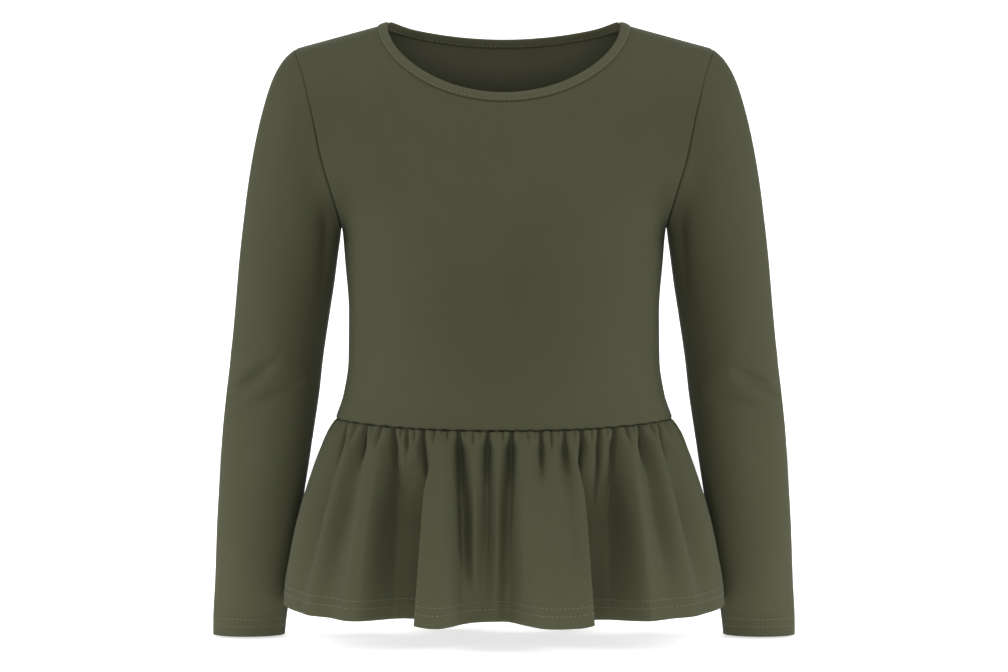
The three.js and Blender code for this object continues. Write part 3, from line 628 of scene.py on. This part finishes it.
def sleeve(hand):
    points, outward = sleeve_points(hand, sleeve_down[:, None], sleeve_turn[None, :])
    normals = grid_normals(points, outward, closed=True)
    across, down = lengths(points, 1), lengths(points, 0)
    underarm = int(np.argmin(np.abs(sleeve_turn - UNDERARM_TURN)))
    from_seam = across - across[:, underarm : underarm + 1]
    edge = np.minimum(down, np.abs(from_seam))
    underarm_depth = UNDERARM_GROOVE["depth"] * hump(from_seam, UNDERARM_GROOVE["width"])
    sunk = groove(points, normals, down) - normals * underarm_depth[..., None]
    hem = down[-1:] - down
    if hand == "right":
        sunk, outward = sunk * [-1, 1, 1], outward * [-1, 1, 1]
    piece = cloth_mesh(f"sleeve_{hand}_cloth", sunk, outward, edge, BOTH_SIDES, hem, closed=True)
    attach(piece, "root")
    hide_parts(f"sleeve_{hand}")
    return piece, sunk


STITCH = {"length": 2.4, "pitch": 4.3, "width": 0.5, "sides": 5, "body": 0.28, "uneven": 0.12, "seed": 5}


def stitches(name, rows, size, colour_material):
    """Rows of small raised stitches as one mesh. Each row is a closed or open line of points and normals."""
    length, pitch, width, sides = size["length"], size["pitch"], size["width"], size["sides"]
    chance = np.random.default_rng(size["seed"])
    ring = np.linspace(0, 2 * np.pi, sides, endpoint=False)
    corners, faces = [], []
    for points, normals in rows:
        run = lengths(points[None], 1)[0]
        places = np.arange(pitch / 2, run[-1] - length, pitch)
        places = places + chance.uniform(-size["uneven"], size["uneven"], len(places)) * pitch
        centre, up, beyond = (
            np.stack([np.interp(at, run, line[:, i]) for i in range(3)], axis=-1)
            for at, line in ((places, points), (places, normals), (places + 0.5, points))
        )
        ahead, up = unit(beyond - centre), unit(up)
        beside = np.cross(ahead, up)
        for c, a, u, b in zip(centre, ahead, up, beside):
            first = len(corners)
            corners.append(c - a * length / 2)
            for share in (-size["body"], size["body"]):
                for turn in ring:
                    round_thread = b * np.cos(turn) + u * (np.sin(turn) + 0.5)
                    corners.append(c + a * length * share + width / 2 * round_thread)
            corners.append(c + a * length / 2)
            low, high, last = first + 1, first + 1 + sides, first + 1 + 2 * sides
            for i in range(sides):
                j = (i + 1) % sides
                faces.append((first, low + j, low + i))
                faces.append((low + i, low + j, high + j, high + i))
                faces.append((high + i, high + j, last))
    piece = new_piece(name, np.array(corners), faces)
    bpy.ops.object.mode_set(mode="EDIT")
    bpy.ops.mesh.select_all(action="SELECT")
    bpy.ops.mesh.normals_make_consistent(inside=False)
    bpy.ops.object.mode_set(mode="OBJECT")
    piece.data.materials.append(colour_material)
    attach(piece, "root")


def thread_material():
    """Twisted polyester thread, a little lighter than the cloth, with fine slanting plies."""
    material, nodes, links, shader = new_material("light_olive_thread")
    place = nodes.new("ShaderNodeTexCoord")
    plies = nodes.new("ShaderNodeTexWave")
    plies.bands_direction = "DIAGONAL"
    plies.inputs["Scale"].default_value = 900
    plies.inputs["Distortion"].default_value = 1.5
    links.new(place.outputs["Object"], plies.inputs["Vector"])
    dark, light = (0.1, 0.102, 0.067, 1), (0.16, 0.163, 0.113, 1)
    colour = colour_mix(nodes, links, "MIX", plies.outputs["Fac"], dark, light)
    links.new(colour, shader.inputs["Base Color"])
    links.new(bump_node(nodes, links, plies.outputs["Fac"], 0.4, 0.0001), shader.inputs["Normal"])
    shader.inputs["Roughness"].default_value = 0.55
    shader.inputs["Sheen Weight"].default_value = 0.2
    return material


thread = thread_material()


def row_at(points, outward, distance, closed):
    """The line that lies a distance above a grid's last row, with its normals."""
    down = lengths(points, 0)
    normals = grid_normals(points, outward, closed)
    columns = range(points.shape[1])
    at = [np.interp(down[-1, c] - distance, down[:, c], np.arange(len(down))) for c in columns]
    low = np.floor(at).astype(int)
    share = (np.array(at) - low)[:, None]
    line = points[low, columns] * (1 - share) + points[low + 1, columns] * share
    up = normals[low, columns]
    if closed:
        line, up = closed_line(line), closed_line(up)
    return line, up


CUFF_ROWS = (10, 17.5)
for hand in ("left", "right"):
    piece, grid = sleeve(hand)
    centre = grid.mean(axis=1, keepdims=True)
    stitched = [row_at(grid, grid - centre, distance, True) for distance in CUFF_ROWS]
    stitches(f"cuff_stitching_{hand}", stitched, STITCH, thread)

# Neck binding.
# A strip of the same jersey folded over the raw neckline and sewn through close to its outer edge. The
# thread is a shade lighter than the cloth, and the row shows on the right side and on the inside too.
BINDING = {"width": 9.5, "thickness": 2.4, "dome": 0.9, "overlap": 0.9, "lift": 0.35}
BINDING_ROUND = {"edge": 0.72, "face": 0.6}
BINDING_SECTION = 20
BINDING_STEPS = 90
SMOOTHING_ROUNDS = 12
NECK_MIDDLE = np.array([0, -10, 60])
NECK_POINT = {"tilt": 0.33, "front_reach": 20, "back_reach": 10, "wider": 0.18, "wider_reach": 16}
BACK_STAND = {"share": 0.55, "at": 20, "width": 15}


def neck_ring():
    """Points round the neckline's edge, with the cloth's normal and the direction into the neck hole."""
    parts = []
    for side, hand in ((-1, 1), (-1, -1), (1, -1), (1, 1)):
        share = np.linspace(0, 1, BINDING_STEPS, endpoint=False)
        if hand * side > 0:
            share = np.linspace(1, 0, BINDING_STEPS, endpoint=False)
        u = hand * NECK_SHARE * (1 - share)
        small = 0.002
        here = bodice_points(side, u, 0.0)
        along = bodice_points(side, np.clip(u + small, -NECK_SHARE, NECK_SHARE), 0.0)
        along -= bodice_points(side, np.clip(u - small, -NECK_SHARE, NECK_SHARE), 0.0)
        below = bodice_points(side, u, small) - here
        normal = unit(np.cross(along, below))
        normal *= np.sign(normal[:, 1:2] * side + 0.2 * normal[:, 2:3])
        parts.append((here, normal))
    edge, normal = (np.concatenate(part) for part in zip(*parts))
    tilt = NECK_POINT["tilt"]
    over_shoulder = np.sign(edge[:, :1]) * [tilt, 0, 0] + [0, 0, np.sqrt(1 - tilt**2)]
    neck_point = np.sign(edge[:, :1]) * [NECK["half"], 0, 0] + [0, 0, NECK["z"]]
    from_point = np.linalg.norm(edge - neck_point, axis=-1)[:, None]
    behind = np.repeat([False, True], 2 * BINDING_STEPS)[:, None]
    stand = BACK_STAND["share"] * hump(from_point - BACK_STAND["at"], BACK_STAND["width"])
    normal = np.where(behind, mix(normal, np.array([0, 1, 0]), stand), normal)
    reach = np.where(behind, NECK_POINT["back_reach"], NECK_POINT["front_reach"])
    normal = mix(normal, over_shoulder, hump(from_point, reach))
    for _ in range(SMOOTHING_ROUNDS):
        normal = (np.roll(normal, 1, axis=0) + 2 * normal + np.roll(normal, -1, axis=0)) / 4
    normal = unit(normal)
    along = np.roll(edge, -1, axis=0) - np.roll(edge, 1, axis=0)
    inward = unit(np.cross(along, normal))
    inward *= np.sign(np.sum(inward * (NECK_MIDDLE - edge), axis=-1, keepdims=True))
    return edge, normal, inward * (1 + NECK_POINT["wider"] * hump(from_point, NECK_POINT["wider_reach"]))


edge_line, edge_normal, edge_inward = neck_ring()


def binding_section(turn):
    """A flat oval with a soft dome: its place across the strip and its height over the cloth."""
    cosine, sine = np.cos(turn), np.sin(turn)
    overlap, width = BINDING["overlap"], BINDING["width"]
    across = mix(-overlap, width, (1 - np.sign(cosine) * np.abs(cosine) ** BINDING_ROUND["edge"]) / 2)
    share = np.clip((across + overlap) / (width + overlap), 0, 1)
    dome = BINDING["dome"] * np.sin(np.pi * share) ** BINDING_ROUND["face"]
    half = BINDING["thickness"] / 2
    height = np.sign(sine) * np.abs(sine) ** BINDING_ROUND["face"] * half
    return across, height - half + BINDING["lift"] + dome * (sine > 0) * np.abs(sine)


section_turn = np.linspace(0, 2 * np.pi, BINDING_SECTION, endpoint=False)
section_across, section_height = binding_section(section_turn)
ring_points = (
    edge_line[None]
    + edge_inward[None] * section_across[:, None, None]
    + edge_normal[None] * section_height[:, None, None]
)
ring_points = closed_line(ring_points)
ring_middle = (edge_line + edge_inward * BINDING["width"] / 2 - edge_normal * BINDING["thickness"] / 2)[None]
# The binding's outer edge, where it lies over the bodice, gets a small seam distance so the jersey darkens
# there: a painted shade line under the edge.
BINDING_EDGE_SHADE_MM = 0.4
ring_edge = np.where(section_across < BINDING_EDGE_SHADE_MM, BINDING_EDGE_SHADE_MM, FAR_FROM_EDGE)
ring_edge = closed_line(ring_edge)[:, None] * np.ones(len(edge_line))
# The binding's colours are lighter than the bodice's, though it is the same jersey: painted light on the
# band, which faces up towards the lamps.
BINDING_OLIVE_PAINTED_LIGHTER = (0.0770, 0.0790, 0.0435, 1)
binding_jersey = jersey_material("binding_jersey", "face", BINDING_OLIVE_PAINTED_LIGHTER, (0.044, 0.0453, 0.023, 1))
binding = cloth_mesh(
    "neck_binding_cloth",
    ring_points,
    ring_points - ring_middle,
    ring_edge,
    (binding_jersey,),
    closed=True,
    thickness=0,
)
bpy.ops.object.mode_set(mode="EDIT")
bpy.ops.mesh.select_all(action="SELECT")
bpy.ops.mesh.remove_doubles(threshold=0.00001)
bpy.ops.object.mode_set(mode="OBJECT")
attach(binding, "root")
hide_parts("neck_binding")


def binding_row(across, height):
    line = edge_line + edge_inward * across + edge_normal * height
    return closed_line(line), closed_line(edge_normal) * np.sign(height)


NECK_ROW = {"across": 1.5, "dome_share": 0.62, "inside_lift": 0.3}
top_of_binding = BINDING["lift"] + BINDING["dome"] * NECK_ROW["dome_share"]
inside_of_binding = NECK_ROW["inside_lift"] - BINDING["thickness"]
neck_rows = [binding_row(NECK_ROW["across"], height) for height in (top_of_binding, inside_of_binding)]
stitches("neck_stitching", neck_rows, STITCH, thread)

# Flounce, front and back.
# Two widths of jersey, cut 1.6 to 1.8 times as long as the waist they are sewn to. The gathers are held
# in the waist seam, and run out into a few broad folds. The hem is turned up and twin-needle stitched.
FLOUNCE = table(
    ("down", "half", "forward", "front", "back"),
    (0, 168.5, 0, 97, 75),
    (14, 175.5, 1, 101, 81),
    (38, 186, 4, 107, 92),
    (62, 194.5, 6.5, 113.5, 102.5),
    (87, 202, 9.5, 118.5, 112.5),
    (114, 208.5, 12.5, 122.5, 122.5),
    (141, 213.5, 14.5, 126.5, 130.5),
    (165, 217.5, 16, 130, 136),
    (187, 219, 17, 132, 140),
)
FLOUNCE_LENGTH = FLOUNCE[-1]["down"]
WAIST_HALF = FLOUNCE[0]["half"]
HEM_HALF = FLOUNCE[-1]["half"]

# Each crest or trough of the broad folds has its place on the waist seam and on the hem, and how far the
# cloth stands out there just under the gathers, half way down and at the hem.
FOLDS = table(
    ("seam", "hem", "upper", "middle", "low"),
    (-168.5, -219, 0, 0, 0),
    (-163, -210, 1.5, 3, 1),
    (-153, -198, -6, -9, 0),
    (-146, -188, 1, 4, 3),
    (-134, -171, -8, -12, -4),
    (-126, -150, 3, 4, 4),
    (-118, -141, 2, 2, 1),
    (-107, -121, -10, -36, -43),
    (-98, -111, -7, -38, -52),
    (-78, -91, -9, -40, -56),
    (-64, -76, 4, 8, 10),
    (-55, -61, 3, 9, 11),
    (-44.5, -41, -14, -28, -28),
    (-29, -30, -2, -14, -36),
    (-15, -20, -12, -28, -35),
    (-5, -8, -2, -18, -34),
    (7.5, 3, -13, -28, -38),
    (19, 20, 2, -3, -18),
    (35, 41, -4, 4, 7),
    (47, 57, 2, 7, 12),
    (57, 68, -5, 4, 12),
    (64, 76, 4, 10, 11),
    (77, 90, -9, -40, -58),
    (92, 104, -8, -40, -56),
    (107, 117, -10, -38, -46),
    (120, 144, 3, 2, -2),
    (132, 164, -8, -12, -3),
    (143, 182, 2, 4, 3),
    (152, 196, -7, -12, 0),
    (163, 210, 1, 3, 1),
    (168.5, 219, 0, 0, 0),
)

# Each gather is a drop-shaped hollow under the seam, with its depth and the length that it runs down.
GATHERS = table(
    ("seam", "depth", "run"),
    (-168.3, 2.2, 18),
    (-167.3, 3.8, 33),
    (-165, 2.8, 18),
    (-159, 2.2, 14),
    (-154, 4.4, 43),
    (-144.5, 3.3, 21),
    (-135, 5.6, 40),
    (-127, 2.2, 10),
    (-120, 3.9, 21),
    (-108, 6.2, 63),
    (-100, 2.8, 12),
    (-94.5, 4.4, 27),
    (-86.5, 2.8, 14),
    (-78.5, 6.2, 56),
    (-67, 3.3, 16),
    (-60, 2.2, 9),
    (-54.5, 3.5, 16),
    (-44.5, 6.9, 59),
    (-37, 2.2, 10),
    (-30, 3.3, 18),
    (-23, 2.2, 10),
    (-15.5, 6.2, 50),
    (-7.5, 2.2, 9),
    (-1, 2.9, 14),
    (7.5, 6.2, 50),
    (15.5, 2.2, 10),
    (23, 2.9, 14),
    (30, 2.2, 9),
    (36, 5.8, 43),
    (45.5, 3.7, 24),
    (52.5, 2.2, 10),
    (59, 5, 40),
    (68, 2.9, 14),
    (75.5, 6.2, 59),
    (84.5, 2.2, 14),
    (92.5, 5.8, 69),
    (100, 2.4, 12),
    (108, 6, 60),
    (119, 3.9, 20),
    (126, 2.2, 10),
    (133, 5.6, 46),
    (143.5, 3.3, 16),
    (151.5, 5, 36),
    (158, 2.8, 16),
    (165, 3.3, 24),
    (167.3, 2.8, 15),
    (168.3, 2.2, 18),
)
SLIT = {"width": 1.7, "skirt": 4.4, "start": 0.8, "opens_over": 5, "deeper": 1.45, "fades_from": 0.3}
SLIT_SHARE = {"width": 0.55, "skirt": 0.45}
PUFF = {"out": 3, "down": 9}
FOLD_LEVEL = {"full": 0.12, "upper": 0.1, "middle": 0.5}
SIDE_BLEND = 9

# How much lower than the side seams each place of the hem hangs.
HEM_DROPS = table(
    ("hem", "drop"),
    (-219, -4),
    (-194.5, 1.2),
    (-154, 4.4),
    (-101, 6),
    (-91.5, 7),
    (-83, 5.6),
    (-66, 9),
    (-7.5, 6),
    (42, 9.4),
    (68.5, 8.6),
    (83, 4.8),
    (93.5, 7.6),
    (107, 7),
    (146, 4.8),
    (192.5, 1.6),
    (219, -3),
)

# Two folds have an edge that laps over the trough beside it, from a level just under the gathers. The
# back's troughs, which the photo doesn't show, are this share as deep as the front's.
LAPPED_EDGES = [{"seam": -70, "hem": -82}, {"seam": 69.5, "hem": 83}]
LAP = {"width": 6, "slide": 7.5, "from": 0.06, "full_over": 0.3}
TROUGH_SHARE = {-1: 1, 1: 0.6}

flounce_curve = {name: curve(FLOUNCE, "down", name) for name in ("half", "forward", "front", "back")}
fold_curve = {name: curve(FOLDS, "seam", name) for name in ("hem", "upper", "middle", "low")}
hem_drop = curve(HEM_DROPS, "hem", "drop")


def flounce_plain(side, x, down):
    """The flounce's plain flare, before any fold."""
    half = flounce_curve["half"](down)
    across = np.clip(np.abs(x) / half, 0, 1)
    depth = flounce_curve[DEPTH[side]](down) * np.sqrt(1 - across**SQUARENESS)
    return np.stack([x, side * depth - flounce_curve["forward"](down), np.zeros_like(x)], axis=-1)


seam_line_x = WAIST_HALF * np.sin(np.linspace(-np.pi / 2, np.pi / 2, 721))
seam_line = flounce_plain(-1, seam_line_x, np.zeros_like(seam_line_x))
seam_run = lengths(seam_line[None], 1)[0]


def along_seam(seam_x):
    """The running length of the waist seam, in place of the distance straight across."""
    return np.interp(seam_x, seam_line_x, seam_run)


def gather_in(seam_x, down, evenness):
    """How far the gathers sink the cloth, each as a drop-shaped hollow that tapers downwards."""
    here = along_seam(seam_x)
    spread = mix(1, HEM_HALF / WAIST_HALF, down / FLOUNCE_LENGTH)
    opened = mix(SLIT["start"], 1, ease(down / SLIT["opens_over"]))
    sink = np.zeros_like(here)
    for number, gather in enumerate(GATHERS):
        beside = (here - along_seam(gather["seam"])) * spread
        varied = 1 + evenness * np.sin(2.7 * number)
        run = gather["run"] * varied
        shown = opened * (1 - ease((down - SLIT["fades_from"] * run) / run))
        narrow, wide = (SLIT_SHARE[part] * hump(beside, SLIT[part]) for part in ("width", "skirt"))
        sink += SLIT["deeper"] * gather["depth"] * varied * shown * (narrow + wide)
    return sink


def fold_out(seam_x, level):
    """How far the broad folds carry the cloth out, at a level from 0, the waist seam, to 1, the hem."""
    upper, middle, low = (fold_curve[name](seam_x) for name in ("upper", "middle", "low"))
    start, half_way = FOLD_LEVEL["upper"], FOLD_LEVEL["middle"]
    out = mix(upper, middle, ease((level - start) / (half_way - start)))
    return mix(out, low, ease((level - half_way) / (1 - half_way))) * ease(level / FOLD_LEVEL["full"])


def folded_x(seam_x, hem_x, down):
    """The place across the front of a line of the cloth that runs from the seam down to the hem."""
    level = down / FLOUNCE_LENGTH
    swing = flounce_curve["half"](down) - mix(WAIST_HALF, HEM_HALF, level)
    return mix(seam_x, hem_x, level) + swing * (seam_x / WAIST_HALF) ** 5


def flounce_points(side, seam_x, down, evenness):
    """Points of the flounce's cloth, and its outward direction, for places along the waist seam."""
    seam_x, down = np.broadcast_arrays(seam_x, down)
    level = down / FLOUNCE_LENGTH
    hem_x = fold_curve["hem"](seam_x)
    x = folded_x(seam_x, hem_x, down)
    points = flounce_plain(side, x, down)
    hem_z = WAIST["side_z"] - FLOUNCE_LENGTH - hem_drop(hem_x)
    points[..., 2] = mix(waist_z(side, seam_x / WAIST_HALF), hem_z, level)
    half = flounce_curve["half"](down)
    turn = np.arcsin(np.clip(x / half, -1, 1))
    small = 0.004
    along = flounce_plain(side, half * np.sin(np.minimum(turn + small, np.pi / 2)), down)
    along -= flounce_plain(side, half * np.sin(np.maximum(turn - small, -np.pi / 2)), down)
    along = unit(along)
    outward = np.stack([along[..., 1], -along[..., 0], 0 * x], axis=-1) * -side
    from_side = (seam_run[-1] / 2 - np.abs(along_seam(seam_x) - seam_run[-1] / 2)) / SIDE_BLEND
    puff = PUFF["out"] * down / PUFF["down"] * np.exp(1 - down / PUFF["down"])
    fold = fold_out(seam_x, level)
    fold = np.where(fold < 0, fold * TROUGH_SHARE[side], fold)
    out = fold + puff - gather_in(seam_x, down, evenness)
    points += outward * (out * ease(from_side))[..., None]
    for lap in LAPPED_EDGES:
        beside = (x - folded_x(lap["seam"], lap["hem"], down)) / LAP["width"]
        shown = ease((level - LAP["from"]) / LAP["full_over"])
        slide = -beside * np.exp(0.5 - beside**2 / 2) * LAP["slide"] * shown
        points += along * slide[..., None]
    return points, outward


# The columns of the cloth's grid crowd together at each gather and spread between them.
GATHER_STEPS = 11
COLUMN_CROWDING = 0.09
gather_turns = np.arcsin([-1, *(row["seam"] / WAIST_HALF for row in GATHERS), 1])
column_share = np.arange(GATHER_STEPS) / GATHER_STEPS
column_share = column_share - COLUMN_CROWDING * np.sin(2 * np.pi * column_share)
column_turns = gather_turns[:-1, None] + np.diff(gather_turns)[:, None] * column_share
flounce_x = WAIST_HALF * np.sin(np.append(column_turns.reshape(-1), np.pi / 2))
upper_rows = np.linspace(4.5, 42, 28)
lower_rows = np.linspace(45, FLOUNCE_LENGTH, 44)
flounce_down = np.concatenate([NEAR_EDGE, upper_rows, lower_rows])
HEM_ROWS = (12, 19.5)
EVENNESS = {"front": 0, "back": 0.3}


def flounce_panel(name):
    side = SIDES[name]
    points, outward = flounce_points(side, flounce_x[None, :], flounce_down[:, None], EVENNESS[name])
    if name == "back":
        points, outward = points * [-1, 1, 1], outward * [-1, 1, 1]
    normals = grid_normals(points, outward)
    across, down = lengths(points, 1), lengths(points, 0)
    edge = np.minimum(down, np.minimum(across, across[:, -1:] - across))
    sunk = groove(points, normals, edge)
    panel = cloth_mesh(f"flounce_{name}_cloth", sunk, outward, edge, BOTH_SIDES, down[-1:] - down)
    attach(panel, "root")
    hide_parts(f"flounce_{name}")
    rows = [row_at(sunk, outward, distance, False) for distance in HEM_ROWS]
    stitches(f"hem_stitching_{name}", rows, STITCH, thread)
    return panel


for name, flat in (("front", (0.72, 0.195)), ("back", (0.66, 0.195))):
    flounce_panel(name)

# Studio.
# A seamless white floor that curves up behind, with broad softboxes at each side, above, behind the camera
# and behind the garment. The camera is level with the middle of the garment, 3 m away.
FLOOR_Z = -0.617
SWEEP = {"width": 3.8, "near": -0.32, "bend_start": 5.2, "bend_radius": 1.0, "height": 0.6}


def studio_sweep():
    """The floor runs back from the camera, bends up in a quarter circle, and goes on as a wall."""
    middle_y = (SWEEP["near"] + SWEEP["bend_start"]) / 2
    bpy.ops.object.select_all(action="DESELECT")
    bpy.ops.mesh.primitive_plane_add(size=1, location=(0, middle_y, FLOOR_Z))
    sweep = bpy.context.object
    sweep.name = "studio_sweep"
    bpy.ops.object.mode_set(mode="EDIT")
    bpy.ops.mesh.select_all(action="SELECT")
    bpy.ops.transform.resize(
        value=(SWEEP["width"], SWEEP["bend_start"] - SWEEP["near"], 1),
        center_override=(0, middle_y, FLOOR_Z),
    )
    bpy.ops.mesh.select_all(action="DESELECT")
    bpy.ops.object.mode_set(mode="OBJECT")
    for edge in sweep.data.edges:
        ends = [sweep.matrix_world @ sweep.data.vertices[i].co for i in edge.vertices]
        edge.select = all(end.y > SWEEP["bend_start"] - 0.01 for end in ends)
    bpy.ops.object.mode_set(mode="EDIT")
    bpy.ops.mesh.select_mode(type="EDGE")
    bpy.ops.mesh.spin(
        steps=16,
        angle=np.pi / 2,
        center=(0, SWEEP["bend_start"], FLOOR_Z + SWEEP["bend_radius"]),
        axis=(1, 0, 0),
    )
    bpy.ops.mesh.extrude_region_move(TRANSFORM_OT_translate={"value": (0, 0, SWEEP["height"])})
    bpy.ops.object.mode_set(mode="OBJECT")
    bpy.ops.object.shade_smooth()
    material, nodes, links, shader = new_material("white_paper")
    grain = nodes.new("ShaderNodeTexNoise")
    grain.inputs["Scale"].default_value = 60
    place = nodes.new("ShaderNodeTexCoord")
    links.new(place.outputs["Object"], grain.inputs["Vector"])
    dark, light = (0.82, 0.82, 0.82, 1), (0.86, 0.86, 0.86, 1)
    paper = colour_mix(nodes, links, "MIX", grain.outputs["Fac"], dark, light)
    links.new(paper, shader.inputs["Base Color"])
    shader.inputs["Roughness"].default_value = 0.9
    shader.inputs["Emission Color"].default_value = (1, 1, 1, 1)
    shader.inputs["Emission Strength"].default_value = 0.66
    sweep.data.materials.append(material)


studio_sweep()

world = bpy.data.worlds.new("pale_surround")
world.use_nodes = True
surround = world.node_tree.nodes["Background"].inputs
surround["Color"].default_value = (1, 1, 1, 1)
surround["Strength"].default_value = 0.06
bpy.context.scene.world = world


SOFTBOX_AIM = np.array([0, 0, -0.3])


def softbox(name, place, size, power):
    light = bpy.data.lights.new(name, "AREA")
    light.shape = "RECTANGLE"
    light.size, light.size_y = size
    light.energy = power
    lamp = bpy.data.objects.new(name, light)
    bpy.context.collection.objects.link(lamp)
    lamp.location = place
    toward = SOFTBOX_AIM - place
    flat = np.hypot(toward[0], toward[1])
    lamp.rotation_euler = (np.pi / 2 + np.arctan2(toward[2], flat), 0, np.arctan2(-toward[0], toward[1]))


softbox("left_softbox", (-2.7, -0.9, 0.8), (2.0, 1.8), 66)
softbox("right_softbox", (2.7, -0.9, 0.8), (2.0, 1.8), 66)
softbox("front_softbox", (0, -3.4, -0.4), (2.4, 1.0), 66)
softbox("top_softbox", (0, -0.1, 2.6), (2.4, 1.2), 22)
softbox("back_softbox", (0, 2.6, 1.5), (2.2, 1.2), 45)

CAMERA = {"distance": 3.0, "height": -0.314, "view_width": 1.008, "sensor": 36}
camera = bpy.data.objects.new("camera", bpy.data.cameras.new("camera"))
bpy.context.collection.objects.link(camera)
camera.location = (0, -CAMERA["distance"], CAMERA["height"])
camera.rotation_euler = (np.pi / 2, 0, 0)
camera.data.sensor_width = CAMERA["sensor"]
camera.data.lens = CAMERA["sensor"] * CAMERA["distance"] / CAMERA["view_width"]
bpy.context.scene.camera = camera
bpy.context.scene.view_settings.view_transform = "Standard"
